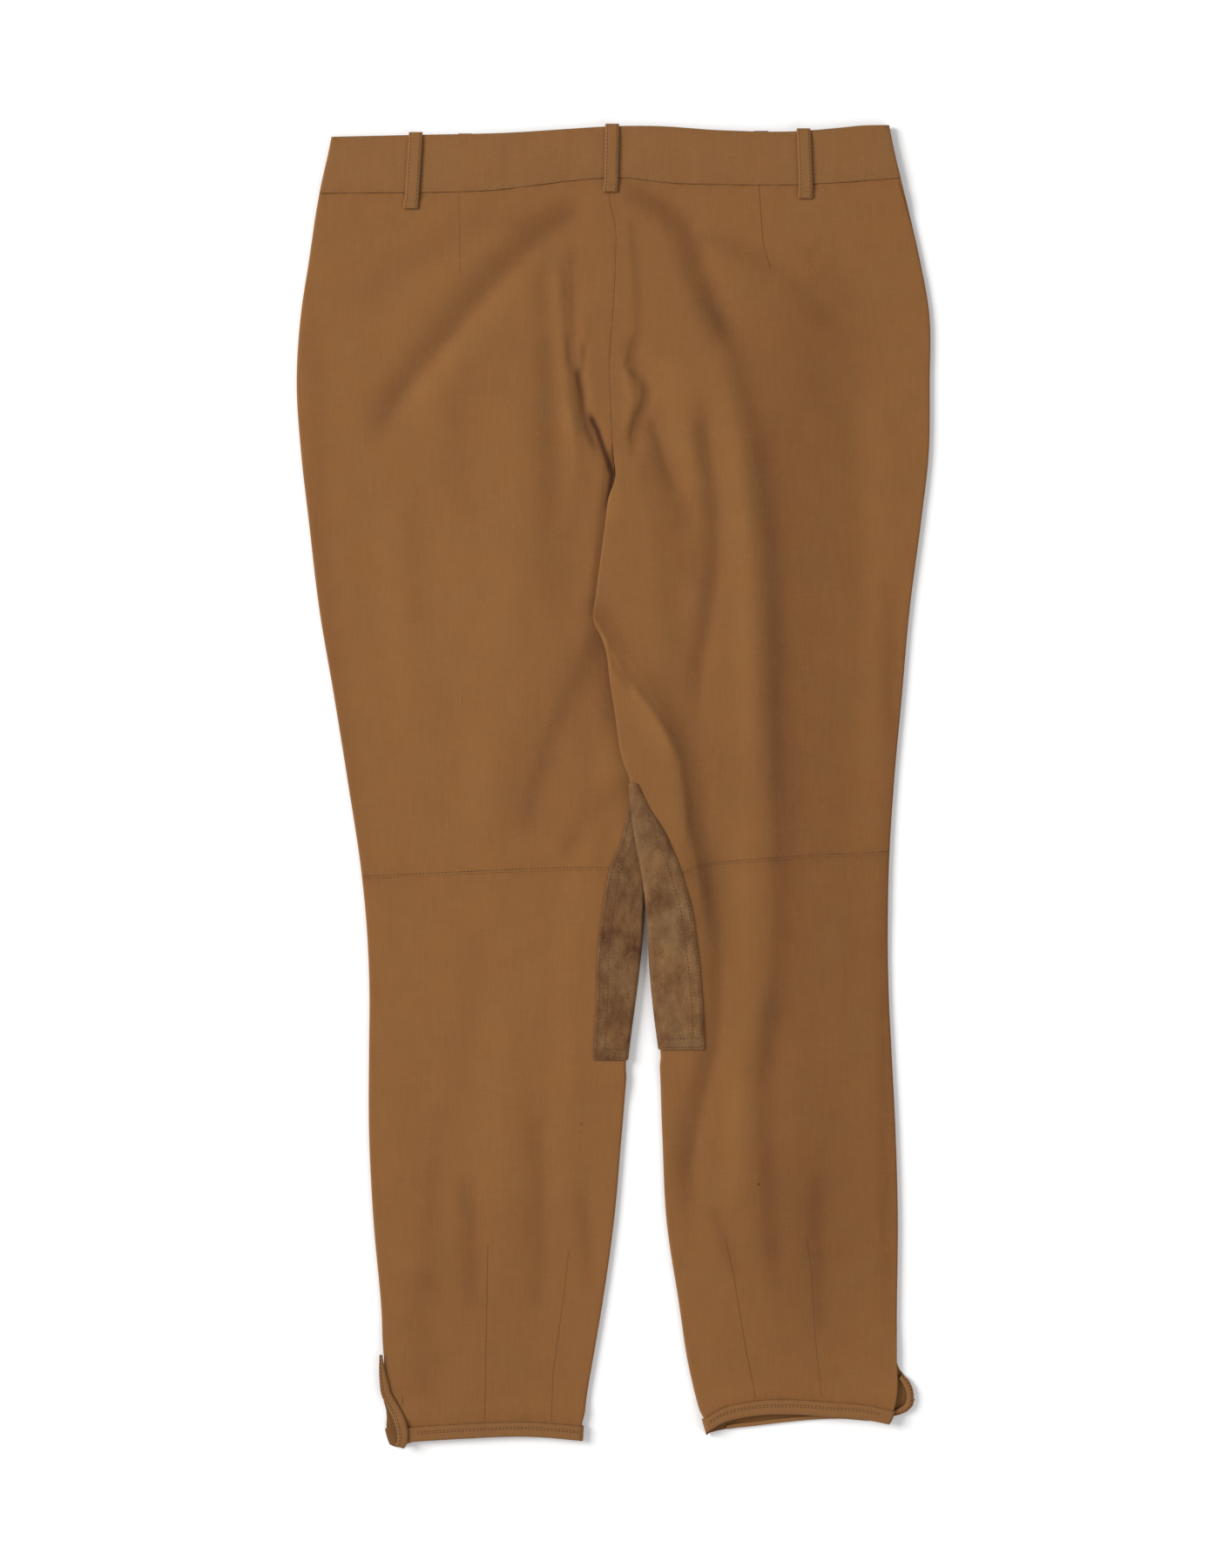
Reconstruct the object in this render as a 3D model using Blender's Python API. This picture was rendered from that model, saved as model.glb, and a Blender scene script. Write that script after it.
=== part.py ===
"""Slim cropped trousers laid flat, back side up.

Every piece that is cut and sewn is its own wall of cloth. +X is the wearer's right, +Y runs to the waist
and +Z is up, in metres. The fronts lie on the surface, the backs lie on the fronts, and the right leg lies
on the left one below the crotch.
"""

import math

import bmesh
import bpy
import numpy as np

# The middle of the outline in the tables below. It stands over the origin.
MIDDLE_X = 0.0002
MIDDLE_Y = 0.0009

# Walls and the clearances between sewn pieces
CLOTH = 0.0011
SUEDE = 0.0011
BAND_CLOTH = 0.0018
BINDING = 0.0013
SEAM = 0.0003
PATCH_GAP = 0.0005
VENT_GAP = 0.0005
WAIST_GAP = 0.0005

# Heights of the layers of a leg
LEG_HEIGHT = 0.0046
PRESSED_HEIGHT = 0.0030
LEAST_HEIGHT = 0.0030
MOST_HEIGHT = 0.0062
PATCH_STACK = SUEDE + PATCH_GAP
HEM_STACK = BINDING + SEAM
BAND_LIFT = 0.0021
BAND_HEIGHT = 0.0048
GAPE = 0.0012

# The right leg's lift over the left one: how far it holds past the overlap, and how far it takes to fade
CROSSING_LIFT = PRESSED_HEIGHT + SEAM
CROSSING_LIFT_AT_PATCH = CROSSING_LIFT + 2 * PATCH_STACK
CROSSING_HOLD = 0.014
CROSSING_FADE = 0.026
CROSSING_FADE_AT_PATCH = 0.062

# How far the other lifts hold past what lies under the cloth, and how far they take to fade
PATCH_HOLD = 0.014
PATCH_FADE = 0.022
WAIST_HOLD = 0.013
WAIST_FADE = 0.020
HEM_HOLD = 0.018
HEM_FADE = 0.016
WRAP_HOLD = 0.004
WRAP_FADE = 0.010

# A turned edge: its upright side and the slope to the level skin, as shares of half the stack
RIM_SHOULDER = 0.6
RIM_RUN = 0.8
RIM_SLOPE = math.atan2(1 - RIM_SHOULDER, RIM_RUN)
OPEN_STEPS = (0.0, 0.0012, 0.0028)
UPRIGHT_AT = 0.05

# Loops, hems and button
LOOP_WIDTH = 0.0105
LOOP_STAND = 0.0009
FRONT_LOOP_PRESS = 0.25
LOOP_CROWN = (0.0, 0.0003, 0.0003, 0.0)
LOOP_ACROSS = (-0.5, -0.2, 0.2, 0.5)
LOOP_ALONG = (0.0, 0.06, 0.2, 0.4, 0.6, 0.8, 0.9, 1.0)
HEM_BAND = 0.011
HEM_TURN = 0.0013
HEM_CELLS = 14
HEM_OVERHANG = 0.0008
BAND_CELLS = 22
BAND_ROWS = 4
BUTTON_Y = 0.4785
BUTTON_RADIUS = 0.0075
BUTTON_THICKNESS = 0.0018
BUTTON_HOLE_RADIUS = 0.0009
BUTTON_HOLE_OFFSET = 0.0016
BUTTON_HOLES = 4

# Where the legs part, and where their edges open into a vent
CROTCH_Y = 0.232
CROTCH_CLEAR = 0.006
PATCH_TOP_Y = 0.003
LEGS_TOUCH_Y = -0.095
LEGS_APART_Y = -0.170
VENT_TOP_Y = -0.425
CLOSING = 0.028

# Outlines: y, x
LEFT_OUTER = (
    (0.500, -0.2118), (0.491, -0.2132), (0.451, -0.2218), (0.4247, -0.2264), (0.3983, -0.2303),
    (0.3587, -0.2363), (0.3059, -0.2396), (0.2531, -0.2363), (0.2003, -0.2303), (0.1343, -0.2224),
    (0.0683, -0.2112), (0.0023, -0.2006), (-0.0637, -0.1907), (-0.1033, -0.1868), (-0.1561, -0.1845),
    (-0.1957, -0.1848), (-0.2617, -0.1848), (-0.3277, -0.1815), (-0.3937, -0.1756), (-0.430, -0.1735),
)
RIGHT_OUTER = (
    (0.500, 0.2088), (0.491, 0.2105), (0.451, 0.2198), (0.4247, 0.2264), (0.3983, 0.2323),
    (0.3587, 0.2392), (0.3059, 0.2396), (0.2531, 0.2389), (0.2003, 0.2330), (0.1343, 0.2244),
    (0.0683, 0.2185), (0.0023, 0.2125), (-0.0637, 0.2086), (-0.1033, 0.2079), (-0.1561, 0.2086),
    (-0.1957, 0.2105), (-0.2617, 0.2138), (-0.3277, 0.2155), (-0.3937, 0.2148), (-0.430, 0.2145),
)
LEFT_BACK_VENT = (
    (-0.4419, -0.1720), (-0.4584, -0.1695), (-0.4663, -0.1650), (-0.4762, -0.1595), (-0.487, -0.1565),
)
LEFT_FRONT_VENT = (
    (-0.450, -0.1745), (-0.465, -0.1739), (-0.473, -0.1716), (-0.488, -0.1716), (-0.500, -0.1680),
)
RIGHT_BACK_VENT = ((-0.4584, 0.2145), (-0.4696, 0.2123), (-0.4788, 0.2092), (-0.484, 0.2055))
RIGHT_FRONT_VENT = (
    (-0.4385, 0.2155), (-0.4440, 0.2190), (-0.4485, 0.2230), (-0.4530, 0.2257), (-0.4590, 0.2274),
    (-0.4650, 0.2270), (-0.4703, 0.2247), (-0.4736, 0.2198), (-0.4770, 0.2110),
)
CENTRE_SEAM = (
    (0.4610, -0.0010), (0.4465, -0.0026), (0.4250, 0.0017), (0.3940, 0.0018), (0.3580, 0.0),
    (0.3220, -0.0026), (0.2800, -0.0013), (0.2530, 0.0), (CROTCH_Y, 0.0013),
)
LEFT_INNER = (
    (0.2190, 0.0060), (0.1900, 0.0110), (0.1500, 0.0150), (0.1100, 0.0175), (0.0600, 0.0200), (0.0200, 0.0225),
    (-0.0200, 0.0240), (-0.0600, 0.0245), (-0.0890, 0.0238), (-0.1145, 0.0224), (-0.1560, 0.0178),
    (-0.1960, 0.0125), (-0.2620, 0.0066), (-0.3280, 0.0007), (-0.3940, -0.0086), (-0.4330, -0.0152),
    (-0.4600, -0.0198), (-0.4860, -0.0224), (-0.4950, -0.0230),
)
RIGHT_INNER = (
    (0.2195, -0.0033), (0.2000, -0.0059), (0.1710, -0.0099), (0.1450, -0.0132), (0.1250, -0.0149),
    (0.1130, -0.0090), (0.1010, -0.0052), (0.0850, -0.0033), (0.0500, 0.0020), (0.0270, 0.0053),
    (0.0085, 0.0104), (-0.0215, 0.0139), (-0.0440, 0.0172), (-0.0660, 0.0215), (-0.0960, 0.0250),
    (-0.1145, 0.0260), (-0.1400, 0.0275), (-0.1730, 0.0308), (-0.1980, 0.0340), (-0.2617, 0.0370),
    (-0.3277, 0.0403), (-0.3937, 0.0502), (-0.4333, 0.0561), (-0.4597, 0.0620), (-0.4860, 0.0693),
)

# Cross seams and hems: x, y
WAIST_SEAM = (
    (-0.221, 0.4485), (-0.158, 0.4490), (-0.122, 0.4495), (-0.088, 0.4510), (-0.055, 0.4550), (-0.021, 0.4590),
    (0.005, 0.4604), (0.042, 0.4564), (0.090, 0.4550), (0.138, 0.4550), (0.180, 0.4572), (0.216, 0.4600),
)
WAIST_TOP = (
    (-0.213, 0.4914), (-0.154, 0.4927), (-0.075, 0.4947), (-0.035, 0.4973), (-0.001, 0.4993), (0.028, 0.4996),
    (0.083, 0.4963), (0.136, 0.4955), (0.169, 0.4980), (0.190, 0.5000), (0.207, 0.5003),
)
LEFT_KNEE_SEAM = ((-0.190, -0.0696), (-0.113, -0.0660), (-0.028, -0.0627), (0.024, -0.0625))
RIGHT_KNEE_SEAM = (
    (0.014, -0.0690), (0.0528, -0.0660), (0.0627, -0.0620), (0.089, -0.0580), (0.123, -0.0555),
    (0.156, -0.0530), (0.190, -0.0520), (0.210, -0.0505),
)
LEFT_BACK_HEM = ((-0.175, -0.4960), (-0.153, -0.4947), (-0.120, -0.4927), (-0.059, -0.4910), (-0.023, -0.4940))
LEFT_FRONT_HEM = (
    (-0.172, -0.4968), (-0.164, -0.4998), (-0.153, -0.4962), (-0.120, -0.4937), (-0.059, -0.4920),
    (-0.023, -0.4945),
)
RIGHT_BACK_HEM = (
    (0.066, -0.4890), (0.071, -0.4870), (0.081, -0.4810), (0.102, -0.4755), (0.132, -0.4736), (0.162, -0.4755),
    (0.192, -0.4780), (0.209, -0.4815),
)
RIGHT_FRONT_HEM = (
    (0.069, -0.4905), (0.0735, -0.4890), (0.1115, -0.4830), (0.172, -0.4782), (0.200, -0.4795),
    (0.2135, -0.4770),
)

# Knee patches: y, width from the inner edge
LEFT_PATCH_WIDTH = (
    (PATCH_TOP_Y, 0.0066), (-0.025, 0.0140), (-0.042, 0.0190), (-0.062, 0.0270), (-0.089, 0.0314),
    (-0.123, 0.0335), (-0.157, 0.0303), (-0.182, 0.0282), (-0.2065, 0.0262),
)
RIGHT_PATCH_WIDTH = (
    (PATCH_TOP_Y, 0.0066), (-0.015, 0.0133), (-0.033, 0.0228), (-0.052, 0.0280), (-0.072, 0.0312),
    (-0.086, 0.0337), (-0.109, 0.0362), (-0.136, 0.0380), (-0.165, 0.0378), (-0.1985, 0.0350),
)
LEFT_PATCH_FOOT_Y = -0.2065
RIGHT_PATCH_FOOT_Y = -0.1985

# Belt loops: name, top x, top y, foot x, foot y, on the back
BELT_LOOPS = (
    ("belt_loop_back_left", -0.1490, 0.4945, -0.1525, 0.4366, True),
    ("belt_loop_back_centre", -0.0007, 0.5008, -0.0017, 0.4493, True),
    ("belt_loop_back_right", 0.1437, 0.4973, 0.1457, 0.4443, True),
    ("belt_loop_front_left", -0.1120, 0.4950, -0.1120, 0.4400, False),
    ("belt_loop_front_right", 0.1120, 0.4970, 0.1120, 0.4440, False),
)

# Bound edges of the vents: x, y, half width
LEFT_VENT_STRIP = (
    (-0.1755, -0.4290, 0.0012), (-0.1748, -0.4399, 0.0022), (-0.1733, -0.4498, 0.0033),
    (-0.1716, -0.4584, 0.0037), (-0.1670, -0.4670, 0.0039), (-0.1617, -0.4769, 0.0041),
    (-0.1590, -0.4861, 0.0041), (-0.1590, -0.4935, 0.0037), (-0.1606, -0.4980, 0.0030),
)
RIGHT_VENT_STRIP = (
    (0.2175, -0.4460, 0.0020), (0.2208, -0.4495, 0.0026), (0.2235, -0.4545, 0.0027),
    (0.2246, -0.4600, 0.0027), (0.2240, -0.4655, 0.0027), (0.2215, -0.4695, 0.0026),
    (0.2165, -0.4722, 0.0024), (0.2120, -0.4738, 0.0020),
)
VENT_CROWN = 0.0004

# Folds: leg, height (below 0 for a trough), reach on the -X side, reach on the +X side, route
FOLDS = (
    ("left", -0.0019, 0.010, 0.014, (
        (-0.038, 0.433), (-0.072, 0.403), (-0.097, 0.377), (-0.122, 0.349), (-0.148, 0.324), (-0.181, 0.273))),
    ("left", 0.0010, 0.012, 0.010, (
        (-0.060, 0.428), (-0.092, 0.400), (-0.118, 0.372), (-0.143, 0.347), (-0.176, 0.309))),
    ("left", -0.0017, 0.009, 0.006, (
        (-0.033, 0.400), (-0.033, 0.3455), (-0.031, 0.323), (-0.0257, 0.308), (-0.0235, 0.285),
        (-0.0152, 0.256))),
    ("left", 0.0008, 0.006, 0.006, ((-0.022, 0.362), (-0.0245, 0.330), (-0.0165, 0.300), (-0.0125, 0.280))),
    ("left", -0.0016, 0.010, 0.005, (
        (-0.0173, 0.2789), (-0.0119, 0.2696), (-0.0059, 0.2518), (-0.001, 0.2345))),
    ("left", -0.0009, 0.012, 0.012, ((-0.057, 0.365), (-0.0535, 0.253), (-0.0475, 0.173), (-0.0475, 0.130))),
    ("left", -0.0012, 0.012, 0.010, ((-0.019, 0.125), (-0.028, 0.085), (-0.0455, 0.041), (-0.056, 0.005))),
    ("left", 0.0007, 0.015, 0.015, ((-0.110, 0.240), (-0.104, 0.150), (-0.101, 0.060), (-0.100, -0.030))),
    ("left", -0.0007, 0.014, 0.014, ((-0.145, 0.235), (-0.140, 0.140), (-0.132, 0.040))),
    ("left", -0.0008, 0.012, 0.012, ((-0.113, -0.285), (-0.1105, -0.335), (-0.109, -0.385))),
    ("left", -0.0009, 0.012, 0.012, ((-0.062, -0.210), (-0.058, -0.290), (-0.0545, -0.365))),
    ("left", -0.0007, 0.009, 0.009, ((-0.012, -0.295), (-0.0155, -0.330), (-0.017, -0.372))),
    ("right", -0.0016, 0.010, 0.012, (
        (0.016, 0.455), (0.034, 0.443), (0.055, 0.431), (0.063, 0.408), (0.069, 0.379), (0.079, 0.351),
        (0.094, 0.326))),
    ("right", 0.0010, 0.010, 0.012, (
        (0.058, 0.444), (0.078, 0.425), (0.085, 0.396), (0.093, 0.366), (0.106, 0.340))),
    ("right", -0.0014, 0.012, 0.012, (
        (0.094, 0.332), (0.101, 0.296), (0.109, 0.258), (0.119, 0.206), (0.120, 0.159), (0.1245, 0.112),
        (0.125, 0.060))),
    ("right", -0.0013, 0.012, 0.011, (
        (0.1245, 0.075), (0.125, -0.005), (0.127, -0.081), (0.123, -0.148), (0.1175, -0.215))),
    ("right", -0.0016, 0.008, 0.010, (
        (0.0183, 0.3455), (0.0152, 0.330), (0.0180, 0.316), (0.0257, 0.300), (0.0210, 0.2789),
        (0.0152, 0.260), (0.0106, 0.247))),
    ("right", -0.0010, 0.008, 0.009, ((0.027, 0.282), (0.038, 0.252), (0.046, 0.232), (0.053, 0.214))),
    ("right", -0.0013, 0.011, 0.011, (
        (0.064, 0.292), (0.071, 0.261), (0.071, 0.187), (0.067, 0.150), (0.066, 0.100))),
    ("right", -0.0010, 0.009, 0.010, ((0.062, 0.416), (0.083, 0.413), (0.108, 0.404), (0.131, 0.382))),
    ("right", -0.0008, 0.011, 0.011, ((0.148, 0.411), (0.162, 0.398), (0.177, 0.383))),
    ("right", -0.0009, 0.007, 0.007, ((0.217, 0.150), (0.211, 0.090), (0.205, 0.035))),
    ("right", -0.0012, 0.005, 0.005, (
        (-0.0059, 0.1066), (0.0013, 0.0947), (0.0092, 0.0828), (0.0172, 0.0703))),
    ("right", 0.0013, 0.009, 0.008, (
        (-0.0120, 0.1198), (0.0030, 0.1046), (0.0165, 0.0815), (0.0317, 0.0551), (0.0442, 0.0287),
        (0.0521, 0.0023))),
    ("right", -0.0016, 0.008, 0.011, (
        (0.0330, 0.0780), (0.0460, 0.0430), (0.0560, 0.0155), (0.0612, -0.0109), (0.0638, -0.0373),
        (0.068, -0.070))),
    ("right", -0.0011, 0.010, 0.010, (
        (0.070, -0.075), (0.079, -0.100), (0.0765, -0.145), (0.071, -0.224), (0.068, -0.300))),
    ("right", -0.0007, 0.012, 0.012, ((0.118, -0.225), (0.120, -0.300), (0.121, -0.365))),
    ("right", -0.0006, 0.012, 0.010, ((0.201, -0.280), (0.200, -0.340), (0.200, -0.392))),
    ("right", -0.0006, 0.010, 0.010, ((0.153, -0.318), (0.155, -0.345), (0.157, -0.376))),
)
FOLD_HEAD = 0.12
FOLD_TAIL = 0.20

# Rows of the grids of a leg: from y, to y, cells
THIGH_ROWS = (
    (0.4600, 0.2320, 16), (0.2320, 0.2040, 3), (0.2040, 0.1250, 5), (0.1250, 0.1130, 1), (0.1130, 0.0600, 4),
    (0.0600, -0.0620, 8),
)
CALF_ROWS = (
    (-0.0620, -0.2100, 10), (-0.2100, -0.3950, 7), (-0.3950, -0.4250, 3), (-0.4250, -0.4700, 4),
    (-0.4700, -0.4900, 2),
)
PATCH_ROWS = ((PATCH_TOP_Y, -0.0600, 5), (-0.0600, -0.2000, 8))
NEAR_INNER = (0.007, 0.016, 0.027, 0.040)
NEAR_OUTER = 0.009
MIDDLE_CELLS = 8
PATCH_REACHES = (1.0, 0.66, 0.33, 0.0)
SETTLING = 6

TWILL = (0.283, 0.130, 0.040, 1.0)
TWILL_BAND = (0.292, 0.136, 0.043, 1.0)
SUEDE_COLOUR = (0.205, 0.110, 0.045, 1.0)
BUTTON_COLOUR = (0.060, 0.028, 0.012, 1.0)


def clear_scene():
    for obj in list(bpy.data.objects):
        bpy.data.objects.remove(obj, do_unlink=True)


def finish(name, colour, roughness):
    """A plain material for one kind of piece."""
    material = bpy.data.materials.new(name)
    material.use_nodes = True
    shader = material.node_tree.nodes["Principled BSDF"]
    shader.inputs["Base Color"].default_value = colour
    shader.inputs["Roughness"].default_value = roughness
    shader.inputs["Metallic"].default_value = 0.0
    return material


def rise(value, none_at, full_at):
    """0 at one value and beyond it, 1 at the other and beyond it, and smooth between."""
    t = np.clip((value - none_at) / (full_at - none_at), 0.0, 1.0)
    return t * t * (3.0 - 2.0 * t)


def through(table, at):
    """A smooth curve through a table's (place, value) rows, straight on past its ends."""
    rows = np.array(sorted(table))
    place, value = rows[:, 0], rows[:, 1]
    slope = np.gradient(value, place)
    at = np.asarray(at, float)
    inside = np.clip(at, place[0], place[-1])
    i = np.clip(np.searchsorted(place, inside) - 1, 0, len(place) - 2)
    span = place[i + 1] - place[i]
    t = (inside - place[i]) / span
    curve = (
        (1 + 2 * t) * (1 - t) ** 2 * value[i]
        + t * (1 - t) ** 2 * span * slope[i]
        + t * t * (3 - 2 * t) * value[i + 1]
        + t * t * (t - 1) * span * slope[i + 1]
    )
    end_slope = np.where(at < place[0], slope[0], slope[-1])
    return curve + (at - inside) * end_slope


def route_offset(x, y, route):
    """How far each point lies to the +X side of a downward route, and how far along it, from 0 to 1."""
    points = np.array(route)
    steps = np.diff(points, axis=0)
    lengths = np.hypot(steps[:, 0], steps[:, 1])
    starts = np.concatenate([[0.0], np.cumsum(lengths)])
    nearest = np.full(np.shape(x), np.inf)
    side = np.zeros(np.shape(x))
    along = np.zeros(np.shape(x))
    for (px, py), (sx, sy), length, start in zip(points[:-1], steps, lengths, starts):
        t = np.clip(((x - px) * sx + (y - py) * sy) / length**2, 0.0, 1.0)
        dx, dy = x - px - t * sx, y - py - t * sy
        distance = np.hypot(dx, dy)
        closer = distance < nearest
        nearest = np.where(closer, distance, nearest)
        side = np.where(closer, np.sign(dy * sx - dx * sy) * distance, side)
        along = np.where(closer, (start + t * length) / starts[-1], along)
    return side, along


def relief(x, y, leg):
    """The folds of one leg: each a soft trough or ridge that fades at its ends."""
    total = np.zeros(np.shape(x))
    for owner, height, reach_low, reach_high, route in FOLDS:
        if owner != leg:
            continue
        side, along = route_offset(x, y, route)
        reach = np.where(side > 0, reach_high, reach_low)
        fade = rise(along, 0.0, FOLD_HEAD) * rise(along, 1.0, 1.0 - FOLD_TAIL)
        total += height * fade * np.exp(-((side / reach) ** 2))
    return total


def turned_edge(half, out):
    """The three points of a turned edge: x in from the cloth's edge, and z from the middle of the stack.

    The outline is moved out by a distance, for a piece that wraps round the cloth.
    """
    side = RIM_SHOULDER * half + math.tan((math.pi / 2 - RIM_SLOPE) / 2) * out
    level = RIM_RUN * half - math.tan(RIM_SLOPE / 2) * out
    upright = np.full_like(half, -out)
    x = np.hstack([upright, upright, level])
    z = np.hstack([np.full_like(half, SEAM / 2), side, half + out])
    return x, z


class Leg:
    """The edges of one leg and the heights of its lower and upper skins."""

    def __init__(self, side):
        self.side = side
        self.right = side == "right"
        self.outer = RIGHT_OUTER if self.right else LEFT_OUTER
        self.inner = CENTRE_SEAM + (RIGHT_INNER if self.right else LEFT_INNER)
        self.knee = RIGHT_KNEE_SEAM if self.right else LEFT_KNEE_SEAM
        self.back_hem = RIGHT_BACK_HEM if self.right else LEFT_BACK_HEM
        self.front_hem = RIGHT_FRONT_HEM if self.right else LEFT_FRONT_HEM
        self.back_vent = RIGHT_BACK_VENT if self.right else LEFT_BACK_VENT
        self.front_vent = RIGHT_FRONT_VENT if self.right else LEFT_FRONT_VENT
        self.patch = RIGHT_PATCH_WIDTH if self.right else LEFT_PATCH_WIDTH
        self.patch_foot = RIGHT_PATCH_FOOT_Y if self.right else LEFT_PATCH_FOOT_Y
        self.inward = -1.0 if self.right else 1.0

    def patch_wrap(self, y):
        """1 where the patch wraps the inner edge, 0 above and below it."""
        end = WRAP_HOLD + WRAP_FADE
        above = rise(y, PATCH_TOP_Y + end, PATCH_TOP_Y + WRAP_HOLD)
        return above * rise(y, self.patch_foot - end, self.patch_foot - WRAP_HOLD)

    def hem_wrap(self, y):
        """1 where the hem's binding wraps the inner edge, 0 above it."""
        top = through(self.front_hem, through(self.inner, y)) + HEM_BAND
        return rise(y, top + WRAP_FADE, top + WRAP_HOLD)

    def inner_x(self, y):
        """The inner edge of the cloth. It is set back under the suede and under the hem's binding."""
        edge = through(self.inner, y)
        under_suede = (PATCH_STACK - SEAM / 2) * self.patch_wrap(y)
        under_binding = (HEM_STACK - SEAM / 2) * self.hem_wrap(y)
        return edge - self.inward * (SEAM / 2 + under_suede + under_binding)

    def outer_x(self, y, vent):
        return through(self.outer + vent, y)

    def from_inner(self, x, y):
        return (through(self.inner, y) - x) * self.inward

    def overlap(self, y):
        """How far the right leg's inner edge reaches over the left one's."""
        width = through(CENTRE_SEAM + LEFT_INNER, y) - through(CENTRE_SEAM + RIGHT_INNER, y)
        return np.where(y > CROTCH_Y, 0.0, np.maximum(width, 0.0))

    def crossing(self, y):
        """1 where the legs lie on each other, 0 well above and below."""
        joined = CROTCH_Y + CROTCH_CLEAR
        return rise(y, joined + CLOSING, joined) * rise(y, LEGS_APART_Y, LEGS_TOUCH_Y)

    def low(self, x, y):
        """The height of the lower skin, which lies on the surface but for what is under it."""
        depth = self.from_inner(x, y)
        width = through(self.patch, np.clip(y, self.patch_foot, PATCH_TOP_Y)) + PATCH_HOLD
        patch = rise(depth, width + PATCH_FADE, width)
        patch = patch * rise(y, PATCH_TOP_Y + PATCH_HOLD + PATCH_FADE, PATCH_TOP_Y + PATCH_HOLD)
        patch = patch * rise(y, self.patch_foot - PATCH_HOLD - PATCH_FADE, self.patch_foot - PATCH_HOLD)
        waist_y = through(WAIST_SEAM, x) - WAIST_HOLD
        waist = rise(y, waist_y - WAIST_FADE, waist_y)
        hem_y = through(self.front_hem, x) + HEM_HOLD
        hem = rise(y, hem_y + HEM_FADE, hem_y)
        height = PATCH_STACK * patch + (BAND_LIFT - SEAM) * waist + HEM_STACK * hem
        if self.right:
            at_patch = rise(y, PATCH_TOP_Y + CROSSING_FADE_AT_PATCH, PATCH_TOP_Y + CROSSING_HOLD)
            lift = CROSSING_LIFT + (CROSSING_LIFT_AT_PATCH - CROSSING_LIFT) * at_patch
            fade = CROSSING_FADE + (CROSSING_FADE_AT_PATCH - CROSSING_FADE) * at_patch
            hold = self.overlap(y) + CROSSING_HOLD
            height = height + lift * rise(depth, hold + fade, hold) * self.crossing(y)
        return height

    def stack(self, x, y):
        """The height from the lower skin to the upper one."""
        full = LEG_HEIGHT + relief(x, y, self.side)
        if self.right:
            hem = through(self.back_hem, x)
            full = full + GAPE * rise(y, hem + HEM_HOLD + HEM_FADE, hem)
            return np.clip(full, LEAST_HEIGHT, MOST_HEIGHT)
        full = np.clip(full, LEAST_HEIGHT, MOST_HEIGHT)
        hold = self.overlap(y) + CROSSING_HOLD
        under = rise(self.from_inner(x, y), hold + CROSSING_FADE, hold) * self.crossing(y)
        return full + (PRESSED_HEIGHT - full) * under

    def top(self, x, y):
        return self.low(x, y) + self.stack(x, y)

    def closed_inner(self, y):
        """0 where the two legs are sewn at the centre seam, 1 where the leg is a tube."""
        return rise(y, CROTCH_Y + SEAM, CROTCH_Y - CLOSING)

    def closed_outer(self, y):
        return rise(y, VENT_TOP_Y, VENT_TOP_Y + CLOSING)

    def edge_stack(self, edge, y):
        """Half the stack at an edge of the cloth, and the height of its middle."""
        half = self.stack(edge, y) / 2
        return half, self.low(edge, y) + half

    def rim(self, edge, y, inward, closed):
        """The x of the three columns of one edge, turned where the leg is closed there."""
        half, _ = self.edge_stack(edge, y)
        turned, _ = turned_edge(half, 0.0)
        opened = np.array(OPEN_STEPS)
        upright = np.minimum(closed / UPRIGHT_AT, 1.0)
        return edge + inward * (opened + (turned - opened) * upright)

    def grid(self, rows, top_line, bottom_line, vent, skin):
        """x, y and z of a panel's outer skin, as rows from top to bottom and columns along +X."""
        start, stop = rows[0], rows[-1]
        share = ((start - rows) / (start - stop))[:, None]
        y = np.repeat(rows[:, None], 2, axis=1)
        x = None
        for _ in range(SETTLING):
            x = self.columns(y, vent)
            above, below = through(top_line, x), through(bottom_line, x)
            y = above + (below - above) * share
        z = self.skin_height(x, y, skin)
        return x, y, z

    def columns(self, y, vent):
        """Every column's x: a rim, the steps near the inner edge, even cells and the other rim."""
        inner_y, outer_y = (y[:, :1], y[:, -1:]) if self.right else (y[:, -1:], y[:, :1])
        inner, outer = self.inner_x(inner_y), self.outer_x(outer_y, vent)
        away = -self.inward
        inner_rim = self.rim(inner, inner_y, away, self.closed_inner(inner_y))
        outer_rim = self.rim(outer, outer_y, self.inward, self.closed_outer(outer_y))
        near = inner + away * np.array(NEAR_INNER)
        far = outer + self.inward * NEAR_OUTER
        middle = near[:, -1:] + (far - near[:, -1:]) * np.linspace(0, 1, MIDDLE_CELLS + 1)[1:]
        from_inner = np.hstack([inner_rim, near, middle, outer_rim[:, ::-1]])
        return from_inner if self.right else from_inner[:, ::-1]

    def skin_height(self, x, y, skin):
        """Heights of a skin, with its two edges turned to meet the other skin half way."""
        sign = 1.0 if skin == "upper" else -1.0
        z = self.top(x, y) if skin == "upper" else self.low(x, y)
        last = x.shape[1] - 1
        inner_at, outer_at = (0, last) if self.right else (last, 0)
        for at, closed in ((inner_at, self.closed_inner), (outer_at, self.closed_outer)):
            step = 1 if at == 0 else -1
            half, middle = self.edge_stack(x[:, [at]], y[:, [at]])
            _, turned = turned_edge(half, 0.0)
            share = closed(y[:, at])
            for column in range(turned.shape[1]):
                here = at + column * step
                height = middle[:, 0] + sign * turned[:, column]
                z[:, here] = z[:, here] + (height - z[:, here]) * share
        return z


LEFT = Leg("left")
RIGHT = Leg("right")


def row_places(spans):
    """The y of every row of a grid, from spans of (from, to, cells)."""
    places = [spans[0][0]]
    for start, stop, cells in spans:
        places += [start + (stop - start) * (i + 1) / cells for i in range(cells)]
    return np.array(places)


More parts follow.
